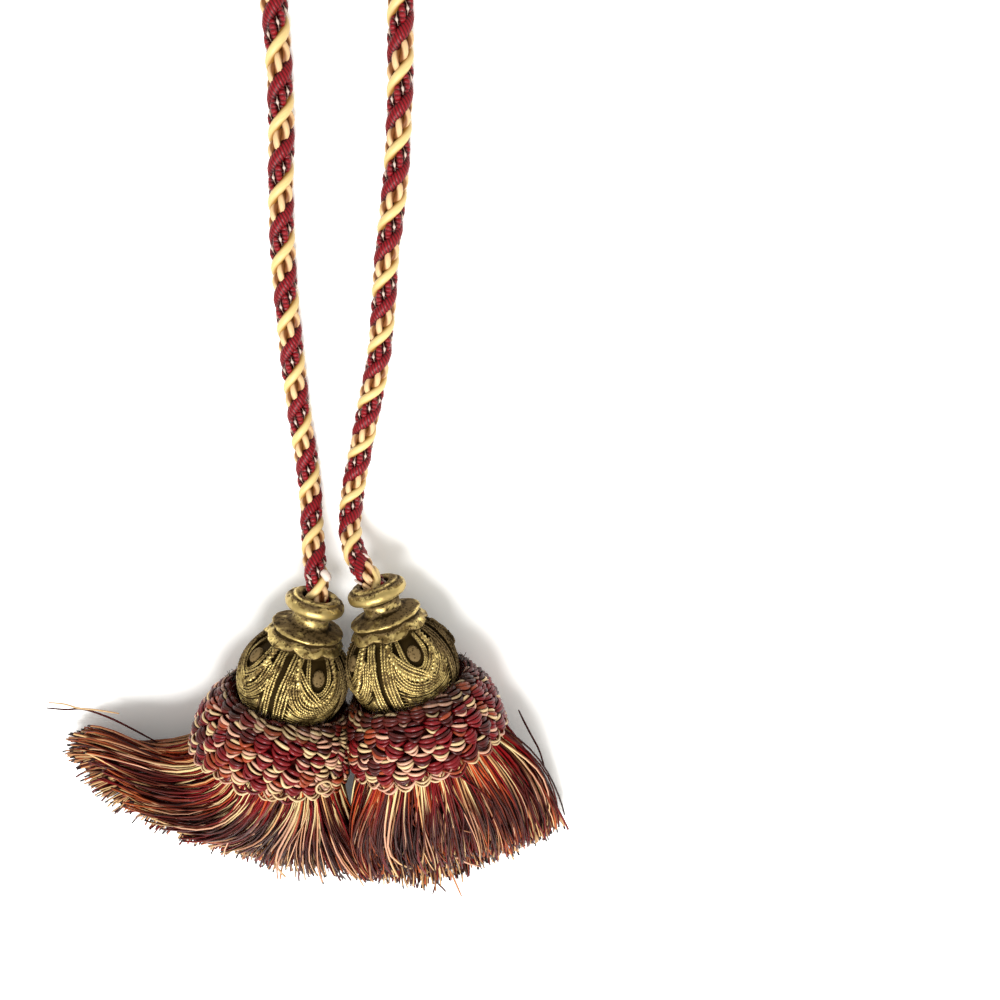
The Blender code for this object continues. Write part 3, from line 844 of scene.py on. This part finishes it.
# %% [markdown]
# ## The ruffs
# The head of each skirt is hidden by five rows of knots, half a knot out of step from row to row.  A knot is
# a few turns of yarn that bulge between two stitches.  Displacing a sphere would give bumps, but no yarn.
# So each knot is a stack of short arcs of yarn that dive into the ruff at both ends: the upper arcs bow up,
# and the lower ones bow down.  Most are of the knot's own colour.  Some are thin and light, and look like
# crescents.  Under the last row hang loops of the same yarn, over the roots of the skirt.

# %% Yarn dyes
RUST = screen_colour(166, 70, 38)
CREAM = screen_colour(250, 217, 163)
PINK_CREAM = screen_colour(244, 188, 158)
DEEP_RED = screen_colour(126, 15, 22)
PLUM = screen_colour(80, 18, 15)
TAN = screen_colour(206, 140, 92)
OLIVE = screen_colour(92, 76, 48)
# the cloth under the knots, dyed near black as painted shade for the gaps between them
CLOTH_SHADE = screen_colour(62, 15, 12)

knot_yarn = yarn_material("ruff knot yarn", roughness=0.33, gloss=0.24, filament=0.28, waver=0.22,
                          relief=0.10, thick=0.80, flank_shade=(0.20, 0.07, 0.03))
heading = yarn_material("ruff heading", roughness=0.9, gloss=0.02, filament=0.5, waver=0.2, relief=0.1,
                        thick=1.0, flank_shade=(1.0, 1.0, 1.0))
skirt_yarn = yarn_material("skirt yarn", roughness=0.42, gloss=0.05, filament=0.22, waver=0.14, relief=0.06,
                           thick=0.50, flank_shade=(0.32, 0.11, 0.05))


def pick_dyes(chance, count, dyes, shares):
    return np.array(dyes)[chance.choice(len(dyes), size=count, p=np.array(shares) / sum(shares))]


print("yarn finishes:", ", ".join(finish.name for finish in (knot_yarn, heading, skirt_yarn)))

# %% [markdown]
# The tassels are soft, and lie on the table and against each other.  Letting thousands of yarns fall in a
# simulation would take long, and end differently after each change.  Here each height over the table is
# squeezed when it gets small, so no yarn goes through the table.  In the ruffs, so is each distance from the
# upright plane between the tassels.

# %% Soft limits
TABLE_SOFT = 2.0 * MM               # height over which yarn gives way to the table or to the other tassel
TABLE_CLEAR = 0.02 * MM
PARTING = 19.3 * MM                 # the upright plane between the two tassels
PARTING_GAP = 0.2 * MM


def give_way(distance):
    """Distances from a surface that never go below nothing: they are squeezed near it."""
    return np.where(distance > TABLE_SOFT, distance,
                    TABLE_SOFT * np.exp((np.minimum(distance, TABLE_SOFT) - TABLE_SOFT) / TABLE_SOFT))


def press(points, name):
    side = -1 if name == "left" else 1
    beside = give_way(side * (points[..., 0] - PARTING) - PARTING_GAP)
    pressed = points.copy()
    pressed[..., 2] = give_way(points[..., 2])
    pressed[..., 0] = PARTING + side * (PARTING_GAP + beside)
    return pressed


def above_table(points):
    return np.maximum(points, [-np.inf, -np.inf, TABLE_CLEAR])


print(f"a point at the table's height is lifted by {float(give_way(0.0)) / MM:.2f} mm")


# %% Knots
KNOTS_PER_ROW = 28
# one row of knots for each line: radius and height of their tops, in mm from the ball's middle
KNOT_ROWS = np.array(((25.4, -10.0), (28.6, -14.8), (30.9, -20.0), (32.1, -25.2), (31.9, -30.6))) * MM
KNOT_HALF_WIDTH, KNOT_HALF_HEIGHT, KNOT_RISE = 3.6 * MM, 2.6 * MM, 2.6 * MM
KNOT_SINK = 2.0 * MM                # of a knot's foot below its top
LIGHT_CHANCE = (0.40, 0.35, 0.40, 0.46)     # that an arc is a light one, from a knot's top down
ARCS = len(LIGHT_CHANCE)
ARC_POINTS = 9
ARC_BOW = 0.45                      # how much of its distance from the middle an arc has lost at its ends
ARC_SAG = 0.35                      # of a knot's half height, by which the middle of each arc hangs down
ARC_SLANT, SLANT_SPREAD = math.radians(11), math.radians(11)
PLACE_SPREAD = 0.018                # of a knot's place round the ruff, in radians
SIZE_SPREAD, LEVEL_SPREAD = 0.10, 0.06      # of a knot's size, and of an arc's height in its knot
# one pair for each round of loops: how far their middles hang below the last row, and how much less their
# ends do, in mm
SCALLOP_DROPS = ((3.4, 2.2), (4.8, 2.9))


def knot_arcs(row, chance):
    """Centre lines of all arcs of a row of knots, in the tassel's own frame, with their ways out."""
    around = 2 * np.pi * (np.arange(KNOTS_PER_ROW) + 0.5 * (row % 2)) / KNOTS_PER_ROW
    out, beside = ways_round(around + chance.normal(0, PLACE_SPREAD, KNOTS_PER_ROW))
    before, after = KNOT_ROWS[max(row - 1, 0)], KNOT_ROWS[min(row + 1, len(KNOT_ROWS) - 1)]
    fall = unit(after - before)
    down = out * fall[0] + UP * fall[1]
    lift = out * -fall[1] + UP * fall[0]
    top = out * KNOT_ROWS[row][0] + UP * KNOT_ROWS[row][1]
    slant = chance.normal(ARC_SLANT, SLANT_SPREAD, KNOTS_PER_ROW)[:, None]
    size = chance.normal(1.0, SIZE_SPREAD, (KNOTS_PER_ROW, 1))
    t = np.linspace(-1, 1, ARC_POINTS)
    lines, outs = [], []
    for k in range(ARCS):
        level = 2 * k / (ARCS - 1) - 1
        level = level + chance.normal(0, LEVEL_SPREAD, (KNOTS_PER_ROW, 1))
        run = KNOT_HALF_WIDTH * size * np.sqrt(1 - (0.66 * level) ** 2) * t
        drop = KNOT_HALF_HEIGHT * size * (level * (1 - ARC_BOW * t ** 2) + ARC_SAG * (0.5 - t ** 2))
        bulge = np.sqrt(np.clip(1 - (0.72 * level) ** 2, 0, 1))
        rise = KNOT_RISE * size * np.sqrt(1 - (0.97 * t) ** 2) * bulge
        run, drop = run * np.cos(slant) - drop * np.sin(slant), run * np.sin(slant) + drop * np.cos(slant)
        lines.append(top[:, None] + beside[:, None] * run[..., None] + down[:, None] * drop[..., None]
                     + lift[:, None] * (rise - KNOT_SINK)[..., None])
        outs.append(lift[:, None] * (0.35 + rise / KNOT_RISE)[..., None]
                    + down[:, None] * (level * 0.6)[..., None])
    return np.concatenate(lines), unit(np.concatenate(outs))


def scallops(chance):
    """Centre lines of the loops under the last row, with their ways out."""
    lines, outs = [], []
    t = np.linspace(-1, 1, ARC_POINTS)
    for drop, less in SCALLOP_DROPS:
        places = np.arange(KNOTS_PER_ROW) + chance.normal(0, 0.16, KNOTS_PER_ROW)
        out, beside = ways_round(2 * np.pi * places / KNOTS_PER_ROW)
        size = chance.normal(1.0, 0.12, (KNOTS_PER_ROW, 1))
        run = KNOT_HALF_WIDTH * 1.1 * size * t
        height = KNOT_ROWS[-1][1] - (drop - less * t ** 2) * size * MM
        radius = KNOT_ROWS[-1][0] + (0.9 - 1.6 * t ** 2) * MM + 0 * height
        lines.append(out[:, None] * radius[..., None] + beside[:, None] * run[..., None]
                     + UP * height[..., None])
        outs.append(np.broadcast_to(out[:, None] - 0.4 * UP, lines[-1].shape))
    return np.concatenate(lines), unit(np.concatenate(outs))


def tube_frames(lines, outs):
    """Out and across for many lines at once, shape lines, points, 3."""
    ahead = unit(np.gradient(lines, axis=1))
    across = unit(np.cross(ahead, outs))
    return np.cross(across, ahead), across


def many_distances(lines):
    steps = np.linalg.norm(np.diff(lines, axis=1), axis=-1)
    return np.concatenate([np.zeros((len(lines), 1)), np.cumsum(steps, axis=1)], axis=1)


print(f"a ruff has {len(KNOT_ROWS)} rows of {KNOTS_PER_ROW} knots, {ARCS} arcs each")

# %% [markdown]
# Under the knots lies the cloth that they are sewn on, a plain spun shape.  Its near-black dye is painted
# shade for the gaps between the knots.  Where the ball sits in the yarn, short fibres stick up.  One loop of
# the left ruff slipped off its knot and lies on top as a ring.

# %% Cloth, fuzz and a loose loop
# radius and height of the cloth in mm, from under the ball to under the heading
RUFF_CLOTH = np.array(((9.0, -21.4), (15.5, -17.0), (19.6, -12.2), (22.2, -8.6), (23.2, -8.3), (24.3, -9.4),
                       (26.6, -14.0), (28.7, -19.6), (29.9, -25.0), (29.8, -31.0), (28.4, -32.6),
                       (9.0, -32.6)))
CLOTH_SIDES = 56
FUZZ_COUNT = 420
FUZZ_RADIUS, FUZZ_HEIGHT = 23.6 * MM, -8.4 * MM
FUZZ_R = 0.13 * MM
# the loose loop: its place round the ruff in degrees, and in mm its distance from the axis, its height, and
# how far it reaches out, aside and up
LOOP_PLACE, LOOP_RADIUS, LOOP_HEIGHT, LOOP_REACH = -45, 34.0, -29.0, (0.9, 3.0, 2.7)
LOOP_POINTS = 20


def spin(profile, sides):
    """Rings of a profile turned round the axis, with faces out when it runs down its outer side."""
    angle = -2 * np.pi * np.arange(sides) / sides
    radius, height = profile[:, :1], profile[:, 1:2]
    return np.stack([radius * np.cos(angle), radius * np.sin(angle), height + 0 * angle], axis=-1)


def add_fuzz(heap, axis, name, chance):
    """Short stray fibres along the edge where the ball sits in the yarn."""
    out, _ = ways_round(chance.uniform(0, 2 * np.pi, FUZZ_COUNT))
    radius = FUZZ_RADIUS + chance.normal(0, 0.7 * MM, FUZZ_COUNT)
    start = out * radius[:, None] + UP * FUZZ_HEIGHT
    way = chance.normal(0, 1.0, (FUZZ_COUNT, 3)) + out * 0.3 + UP * 1.1
    bend = chance.normal(0, 1.0, (FUZZ_COUNT, 3))
    t = np.linspace(0, 1, 4)[None, :, None]
    length = chance.uniform(1.2, 2.8, (FUZZ_COUNT, 1, 1)) * MM
    lines = start[:, None] + length * (unit(way)[:, None] * t + 0.5 * unit(bend)[:, None] * t ** 2)
    lines = press(into_place(axis, lines), name)
    outs, across = tube_frames(lines, np.broadcast_to(bend[:, None], lines.shape) + 0.01)
    radii = np.broadcast_to(FUZZ_R, lines.shape[:2])
    points, up, aside = ring_points(lines, outs, across, radii, radii, 3)
    dyes = pick_dyes(chance, FUZZ_COUNT, (OLIVE, OLIVE * 2.0, DEEP_RED), (5, 2, 2))
    heap.add_tubes(points, dyes[:, None, None], many_distances(lines), up, aside)


def loose_loop():
    """A loop of yarn that slipped off its knot, with its ways out."""
    out, beside = ways_round(math.radians(LOOP_PLACE))
    turn = np.linspace(0, 2 * np.pi, LOOP_POINTS)[:, None]
    line = (out * (LOOP_RADIUS + LOOP_REACH[0] * np.cos(turn)) + beside * LOOP_REACH[1] * np.cos(turn)
            + UP * (LOOP_HEIGHT + LOOP_REACH[2] * np.sin(turn)))
    return line[None] * MM, np.broadcast_to(out, (1, LOOP_POINTS, 3))


print(f"fuzz: {FUZZ_COUNT} fibres a ruff")

# %% [markdown]
# Each knot is wound with one yarn, but now and then a turn of it belongs to the next colour.  The light arcs
# are seen more on the left ruff's right side and on the right ruff's left side.  The first row is dark and
# greenish, because it lies in the ball's shade.

# %% Ruffs
ARC_R, LIGHT_THIN = 0.92 * MM, 0.80
SCALLOP_R = 0.62 * MM
KNOT_DYES = (DEEP_RED, RUST, PLUM)
KNOT_SHARES = {"left": (56, 19, 25), "right": (52, 15, 33)}     # of each dye in a hundred knots
OWN_SHARE = 0.7                     # of a knot's arcs that have its own dye
PALE_SIDES = {"left": (1.2, 0.5), "right": (0.75, -0.3)}    # light arcs, on the whole and more to the right
FIRST_ROW_LEFT, FIRST_ROW_OLIVE = 0.50, 0.12


def add_arcs(heap, name, lines, outs, radius, dyes):
    axis = tassel_axis(name)
    lines = press(into_place(axis, lines), name)
    outs, across = tube_frames(lines, outs @ np.array(axis.to_3x3()).T)
    thin = 0.55 + 0.45 * np.sin(np.linspace(0.15, math.pi - 0.15, lines.shape[1]))
    thick = radius[:, None] * thin
    points, up, aside = ring_points(lines, outs, across, thick, thick, 6)
    heap.add_tubes(above_table(points), dyes[:, None, None], many_distances(lines), up, aside)


def row_dyes(row, name, chance):
    """Dyes of a row's arcs, and which of them are light."""
    own = np.tile(pick_dyes(chance, KNOTS_PER_ROW, KNOT_DYES, KNOT_SHARES[name]), (ARCS, 1))
    other = pick_dyes(chance, len(own), KNOT_DYES, KNOT_SHARES[name])
    own = np.where(chance.uniform(size=(len(own), 1)) < OWN_SHARE, own, other)
    own = own * chance.uniform(0.8, 1.15, (len(own), 1))
    around = np.tile(2 * np.pi * np.arange(KNOTS_PER_ROW) / KNOTS_PER_ROW, ARCS)
    pale_share = PALE_SIDES[name][0] + PALE_SIDES[name][1] * np.cos(around)
    light = chance.uniform(size=len(own)) < np.repeat(LIGHT_CHANCE, KNOTS_PER_ROW) * pale_share
    pale = pick_dyes(chance, len(own), (CREAM, PINK_CREAM), (50, 50))
    dyes = np.where(light[:, None], pale, own)
    if row == 0:
        dyes = dyes * FIRST_ROW_LEFT + OLIVE * FIRST_ROW_OLIVE
    return dyes, light


def make_ruff(name, seed):
    chance = np.random.default_rng(seed)
    axis = tassel_axis(name)
    heap = Heap()
    cloth = press(into_place(axis, spin(RUFF_CLOTH * MM, CLOTH_SIDES)), name)
    # the cloth is dyed near black, as painted shade between the knots
    heap.add_tubes(cloth[None], CLOTH_SHADE, np.zeros((1, len(RUFF_CLOTH))), 0.0, 0.0, finish=1)
    for row in range(len(KNOT_ROWS)):
        lines, outs = knot_arcs(row, chance)
        dyes, light = row_dyes(row, name, chance)
        radius = ARC_R * chance.normal(1, 0.08, len(lines)) * np.where(light, LIGHT_THIN, 1.0)
        add_arcs(heap, name, lines, outs, radius, dyes)
    lines, outs = scallops(chance)
    dyes = pick_dyes(chance, len(lines), (CREAM, PINK_CREAM, DEEP_RED, RUST), (40, 25, 20, 15))
    add_arcs(heap, name, lines, outs, SCALLOP_R * chance.normal(1, 0.10, len(lines)), dyes)
    add_fuzz(heap, axis, name, chance)
    if name == "left":
        add_arcs(heap, name, *loose_loop(), np.array([SCALLOP_R]), np.array([CREAM]))
    ruff = heap.make(f"knotted_ruff_{name}", [knot_yarn, heading])
    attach(ruff, "root")
    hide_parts(f"ruff_{name}")


for name, seed in (("left", 11), ("right", 12)):
    make_ruff(name, seed)

# %% [markdown]
# ## The skirts
# The skirt is a fringe of cut yarn, rolled up and sewn under the ruff, which fans out where it lies on the
# table.  Hair particles would fall by themselves, but they end up as lines, not as a mesh that another
# program can read.  So a fan is written down as two short tables, one for the yarns on top and one for those
# that lie on the table: the direction and length of the yarn at some places across the ruff.  Each yarn
# reads its own way from them, with some chance added.

# %% Fans
HEADING_R, HEADING_HEIGHT = 28.0 * MM, -30.5 * MM
TIP_HEIGHT = 0.6 * MM
TOP_TIP_HEIGHT = 15.0 * MM
FALL_POWER = 1.25
SKIRT_MARKS = np.array((0, 0.1, 0.2, 0.3, 0.42, 0.54, 0.66, 0.78, 0.89, 0.967, 0.972, 1.0))
# one row for each place across the heading, from -1 at its left to 1 at its right: place, direction in
# degrees at the ruff, halfway and at the tip (0 is straight on, minus is to the left), and length in mm
FANS = {
    "left": {
        "top": np.array(((-1.0, -36, -57, -74, 64), (-0.75, -12, -72, -35, 69), (-0.6, -20, -62, -60, 72),
                         (-0.35, -3, -49, -80, 80), (-0.1, 3, -30, -60, 79), (0.3, -10, -17, -50, 75),
                         (0.55, 15, -8, 0, 76), (0.8, 15, 25, 33, 74), (1.0, 19, 24, 30, 70))),
        "low": np.array(((-1.0, 0, -62, -46, 75), (-0.5, -16, -42, -26, 84), (0.0, -5, -20, -12, 81),
                         (0.5, 3, 3, 4, 78), (1.0, 11, 18, 24, 70))),
    },
    "right": {
        "top": np.array(((-1.0, -34, -15, 0, 76), (-0.5, -30, -31, -8, 81), (0.0, -18, -18, -14, 79),
                         (0.5, -5, -6, -16, 78), (0.85, 18, 0, -14, 79), (1.0, 46, 0, -18, 76))),
        "low": np.array(((-1.0, -16, -23, -30, 77), (-0.5, -8, -13, -18, 92), (0.0, -2, -4, -6, 87),
                         (0.5, 3, 1, -2, 80), (1.0, 12, 4, -12, 76))),
    },
}
LOW_LEVEL, TOP_LEVEL = -0.1, 0.5    # of a root: below one and above the other it follows a single fan
HOOKS = {"left": 0.05, "right": 0.12}       # share of yarns with a crooked tip
CROSSINGS = {"left": 0.03, "right": 0.06}   # and of those that lie across the others
HOOK_TURN, CROSS_TURN = 60, 32      # how far they turn aside at most, in degrees
TURN_SPREADS = (2.4, 2.8, 6.0)      # of a yarn's direction at the ruff, halfway and at the tip, in degrees
LENGTH_SPREAD = 0.035
WANDER = np.array((0.55, 0.55, 0.45)) * MM
LOCK_SIZE, LOCK_SHIFT = 9 * MM, 1.6 * MM    # neighbours that lean the same way, and by how much


def read_fan(name, place, level):
    """Direction at the ruff, halfway and at the tip, and length, for each yarn."""
    share = smooth_share(level, LOW_LEVEL, TOP_LEVEL)
    low, top = (FANS[name][layer] for layer in ("low", "top"))
    rows = []
    for i in (1, 2, 3, 4):
        in_low = np.interp(place, low[:, 0], low[:, i])
        in_top = np.interp(place, top[:, 0], top[:, i])
        rows.append(in_low * (1 - share) + in_top * share)
    return rows


def yarn_turns(name, roots, chance):
    """Directions of each yarn between its points, in degrees from straight on, and its length."""
    place, level = roots[:, 0] / HEADING_R, -roots[:, 1] / HEADING_R
    *turns, length = read_fan(name, place, level)
    count = len(roots)
    start, middle, end = (turn + chance.normal(0, spread, count) for turn, spread in zip(turns, TURN_SPREADS))
    length = length * MM * np.clip(chance.normal(1.0, LENGTH_SPREAD, count), 0.82, 1.07)
    s = (SKIRT_MARKS[1:] + SKIRT_MARKS[:-1]) / 2
    turn = (start[:, None] * (1 - s) * (1 - 2 * s) + 4 * middle[:, None] * s * (1 - s)
            + end[:, None] * s * (2 * s - 1))
    on_top = (np.abs(place) < 0.6) & (level > 0.2)
    hooked = (chance.uniform(size=count) < HOOKS[name]) & on_top
    hook = np.where(hooked, chance.uniform(-HOOK_TURN, HOOK_TURN, count), 0)
    crossing = (chance.uniform(size=count) < CROSSINGS[name]) & on_top
    cross = np.where(crossing, chance.uniform(-CROSS_TURN, CROSS_TURN, count), 0)
    turn = turn + hook[:, None] * smooth_share(s, 0.60, 1.0) + cross[:, None] * np.sin(2.2 * np.pi * s)
    return turn, length


def skirt_lines(name, roots, chance):
    """Yarn lines in the world, from roots (right, down) in the heading."""
    axis = tassel_axis(name)
    _, lean, _ = TASSEL_PLACES[name]
    count = len(roots)
    t = SKIRT_MARKS
    turn, length = yarn_turns(name, roots, chance)
    way = np.radians(lean - 180 - turn)
    step = length[:, None] * np.diff(t)
    run = np.stack([np.sin(way) * step, np.cos(way) * step], axis=-1)
    start = into_place(axis, np.c_[roots, np.full(count, HEADING_HEIGHT)])
    flat = np.concatenate([start[:, None, :2], start[:, None, :2] + np.cumsum(run, axis=1)], axis=1)
    top = TOP_TIP_HEIGHT * (1 + 0.12 * chance.normal(size=count))
    tip = TIP_HEIGHT + (1 - roots[:, 1] / HEADING_R) / 2 * (top - TIP_HEIGHT)
    height = start[:, 2:] + (tip - start[:, 2])[:, None] * t ** FALL_POWER
    lines = np.concatenate([flat, height[..., None]], axis=-1)
    wander = chance.normal(size=(count, 3)) * WANDER
    phase, pace = chance.uniform(0, 2 * np.pi, (count, 1)), chance.uniform(0.5, 1.3, (count, 1))
    lines = lines + wander[:, None] * (np.sin(2 * np.pi * pace * t + phase) - np.sin(phase))[..., None]
    locks = np.stack([ripple(lines[:, 0], LOCK_SIZE, 51 + i) for i in range(2)], axis=-1) * LOCK_SHIFT
    lines[..., :2] += locks[:, None] * (t ** 1.5)[None, :, None]
    lines[..., 2] = np.maximum(lines[..., 2], 0)
    return lines


for name, layers in FANS.items():
    print(f"{name} skirt: yarns of {min(fan[:, 4].min() for fan in layers.values()):.0f} to "
          f"{max(fan[:, 4].max() for fan in layers.values()):.0f} mm")

# %% [markdown]
# The yarn is dyed in stretches, so neighbours in the trim often match.  Halfway down, each yarn is painted
# darker, and a share of them darker still, as painted shade.  Most yarns hang from the heading's rim.  Those
# inside it are in the shade of the others, painted darker but for their tips, which come out.  A cut end
# shows the dark inside of the yarn.


# %% Skirt yarns
YARNS = 2150
YARN_R = 0.55 * MM
OUTER_SHARE = 0.55                  # of the yarns that hang from the heading's rim
DYE_GROUPS = 34                     # stretches of one colour round the trim
GROUP_SHARE = 0.45                  # of the yarns that have their stretch's colour
# one row for each kind of yarn: its screen colours at the ruff, halfway and at the tip, where the darker
# halfway colour is painted shade
SKIRT_KINDS = np.array([[screen_colour(*colour) for colour in kind] for kind in (
    ((255, 230, 166), (240, 184, 150), (255, 214, 152)),
    ((138, 14, 20), (80, 20, 14), (124, 20, 20)),
    ((192, 78, 36), (128, 50, 28), (208, 108, 58)),
    ((240, 184, 124), (206, 148, 112), (232, 172, 122)),
    ((82, 22, 14), (56, 14, 8), (84, 28, 16)),
)])
KIND_SHARES = {"left": (32, 29, 16, 16, 7), "right": (23, 31, 17, 16, 13)}      # in a hundred yarns
SHADED = screen_colour(84, 30, 18)
SHADED_SHARE = 0.38                 # of the yarns that are painted darker still halfway, as shade
CUT_END = screen_colour(46, 16, 8)
CUT_SHARE = 0.38                    # of the yarns whose cut end is dark
INNER_SHADE = np.array((0.42, 0.22, 0.15))


def skirt_roots(name, chance):
    """Places in the heading, a share on its rim and the rest evenly inside, with each yarn's kind."""
    around = chance.uniform(0, 2 * np.pi, YARNS)
    inner = chance.uniform(size=YARNS) >= OUTER_SHARE
    inside = np.sqrt(chance.uniform(0.1, 0.93, YARNS))
    on_rim = chance.uniform(0.93, 1.03, YARNS)
    radius = HEADING_R * np.where(inner, inside, on_rim)
    roots = np.stack([radius * np.cos(around), radius * np.sin(around)], axis=-1)
    group = np.floor(around / (2 * np.pi) * DYE_GROUPS + chance.normal(0, 0.25, YARNS)).astype(int)
    shares = np.array(KIND_SHARES[name]) / 100
    group_kinds = chance.choice(len(shares), size=DYE_GROUPS, p=shares)
    own = chance.choice(len(shares), size=YARNS, p=shares)
    grouped = chance.uniform(size=YARNS) < GROUP_SHARE
    return roots, inner, np.where(grouped, group_kinds[group % DYE_GROUPS], own)


def add_skirt_yarns(heap, lines, kinds, inner, chance):
    t, count = SKIRT_MARKS, len(lines)
    lines = lines.copy()
    lines[..., 2] = np.maximum(give_way(lines[..., 2]), YARN_R)
    outs, across = tube_frames(lines, np.broadcast_to(UP, lines.shape))
    thick = YARN_R * chance.uniform(0.8, 1.15, (count, 1)) * (1 - 0.12 * t)
    turn = np.broadcast_to(chance.uniform(0, 2 * np.pi, count)[:, None], lines.shape[:2])
    points, up, aside = ring_points(lines, outs, across, thick, thick, 3, turn)
    along = t + chance.normal(0, 0.08, (count, 1))
    past_middle = smooth_share(along, 0.74, 0.92)
    middle = (smooth_share(along, 0.22, 0.50) * (1 - past_middle))[..., None]
    tip = past_middle[..., None]
    at_ruff, halfway, at_tip = (SKIRT_KINDS[kinds, i] for i in range(3))
    # the halfway colours, and the darker one, are painted shade
    halfway = np.where(chance.uniform(size=(count, 1)) < SHADED_SHARE, SHADED, halfway)
    dye = at_ruff[:, None] * (1 - middle - tip) + halfway[:, None] * middle + at_tip[:, None] * tip
    shade = np.where(inner[:, None], INNER_SHADE, 1.0)[:, None]
    dye = dye * chance.uniform(0.7, 1.2, (count, 1, 1)) * (shade + (1 - shade) * tip)
    dye[chance.uniform(size=count) < CUT_SHARE, -2:] = CUT_END
    heap.add_tubes(above_table(points), dye[:, :, None], many_distances(lines), up, aside)


print(f"{YARNS:,} yarns a skirt, {OUTER_SHARE:.0%} of them from the rim")

# %% [markdown]
# A few long yarns lie apart from the rest and catch the eye, so they are placed one by one, each through a
# few points.

# %% Strays and skirts


# one row for each yarn that lies apart: its thickness in mm, its dye and its points in mm
STRAYS = {
    "left": (
        (0.9, PLUM, ((-64, 5.7, 20), (-79.4, 12.7, 16.5), (-89, 15.2, 13.5), (-97.5, 16.1, 11),
              (-105.3, 14.6, 9), (-114.4, 14.1, 7))),
        (0.8, CREAM, ((-80.3, 16.4, 15), (-90.2, 16.8, 13), (-99.1, 16.6, 11), (-105.8, 17.3, 9),
              (-113.1, 16.8, 7))),
    ),
    "right": (
        (0.9, PLUM, ((87.8, 17.4, 14), (90.4, 9.6, 11), (93.5, 1.7, 9), (97.0, -6.5, 8), (99.7, -16.1, 8))),
        (1.1, CREAM, ((60.5, -6.8, 26), (54.1, -28.8, 20), (49.2, -44.6, 16), (42.7, -63.2, 11))),
        (1.0, PINK_CREAM, ((81.3, -11.5, 24), (83.3, -24, 20), (81.9, -44, 14), (81.4, -56.7, 10))),
        (1.0, PINK_CREAM, ((50.1, -43.8, 17), (54.6, -52.6, 15), (63.8, -63.2, 11), (71, -68.7, 8))),
        (1.0, TAN, ((53.4, -54.1, 15), (58.1, -72.4, 9), (62, -89, 4))),
        (0.9, PLUM, ((45.4, -70.1, 9), (49.9, -78, 6), (54.8, -87.2, 3))),
        (0.9, PLUM, ((51.2, -68.6, 9), (50.5, -78.8, 6), (48.5, -88.7, 3))),
    ),
}


def make_skirt(name, seed):
    chance = np.random.default_rng(seed)
    heap = Heap()
    roots, inner, kinds = skirt_roots(name, chance)
    add_skirt_yarns(heap, skirt_lines(name, roots, chance), kinds, inner, chance)
    lay_loose(heap, STRAYS[name], 0, sides=5)
    skirt = heap.make(f"yarn_skirt_{name}", [skirt_yarn])
    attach(skirt, "root")
    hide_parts(f"fringe_{name}")


for name, seed in (("left", 21), ("right", 68)):
    make_skirt(name, seed)

# %% [markdown]
# ## The table and the light
# A plain white table top, one soft light overhead, and a pale room that is brighter on the tassels' side, so
# that the gilt has something bright and something dark to reflect.  The table top also glows faintly, as
# painted light that lifts the shade round the tassels.

# %% Table top
TABLE_HALF = 1.5
TABLE_WHITE, GLOW_WHITE = (0.97, 0.97, 0.96, 1), (1, 1, 0.98, 1)
TABLE_GLOW = 0.10                   # the table's faint glow, painted light that keeps the shade round the tassels soft

corners = [(x * TABLE_HALF, y * TABLE_HALF, 0) for x, y in ((-1, -1), (1, -1), (1, 1), (-1, 1))]
table_mesh = bpy.data.meshes.new("table_top")
table_mesh.from_pydata(corners, [], [(0, 1, 2, 3)])
table_paint, _, paint_shader = new_material("white table")
for socket, value in (("Base Color", TABLE_WHITE), ("Roughness", 0.7), ("Emission Color", GLOW_WHITE),
                      ("Emission Strength", TABLE_GLOW)):
    paint_shader.inputs[socket].default_value = value
table_mesh.materials.append(table_paint)
floor = bpy.data.objects.new("table_top", table_mesh)
bpy.context.collection.objects.link(floor)
print(f"table top: {2 * TABLE_HALF} m square")

# %% Lights
KEY_PLACE, KEY_AIM = Vector((10, -150, 760)) * MM, Vector((30, 60, 10)) * MM
KEY_SIZE, KEY_WATTS = 0.38, 8.5
ROOM_COLOUR = (1.0, 0.98, 0.93, 1)
ROOM_BRIGHT, ROOM_DIM = 1.70, 0.80  # strength on the tassels' side and on the rope's side

key_data = bpy.data.lights.new("key", "AREA")
key_data.shape = "DISK"
key_data.size = KEY_SIZE
key_data.energy = KEY_WATTS
key = bpy.data.objects.new("key", key_data)
key.location = KEY_PLACE
key.rotation_euler = (KEY_AIM - KEY_PLACE).to_track_quat("-Z", "Y").to_euler()
bpy.context.collection.objects.link(key)

world = bpy.data.worlds.new("pale room")
world.use_nodes = True
room = world.node_tree
background = room.nodes["Background"]
sky = add_node(room, "ShaderNodeTexCoord").outputs["Generated"]
sky_y = add_node(room, "ShaderNodeSeparateXYZ", [(0, sky)]).outputs["Y"]
room.links.new(ramp(room, sky_y, -0.9, 0.3, ROOM_BRIGHT, ROOM_DIM), background.inputs["Strength"])
background.inputs["Color"].default_value = ROOM_COLOUR
bpy.context.scene.world = world
bpy.context.scene.view_settings.view_transform = "Standard"
print(f"key light of {KEY_WATTS} W and a room of {ROOM_DIM} to {ROOM_BRIGHT}")
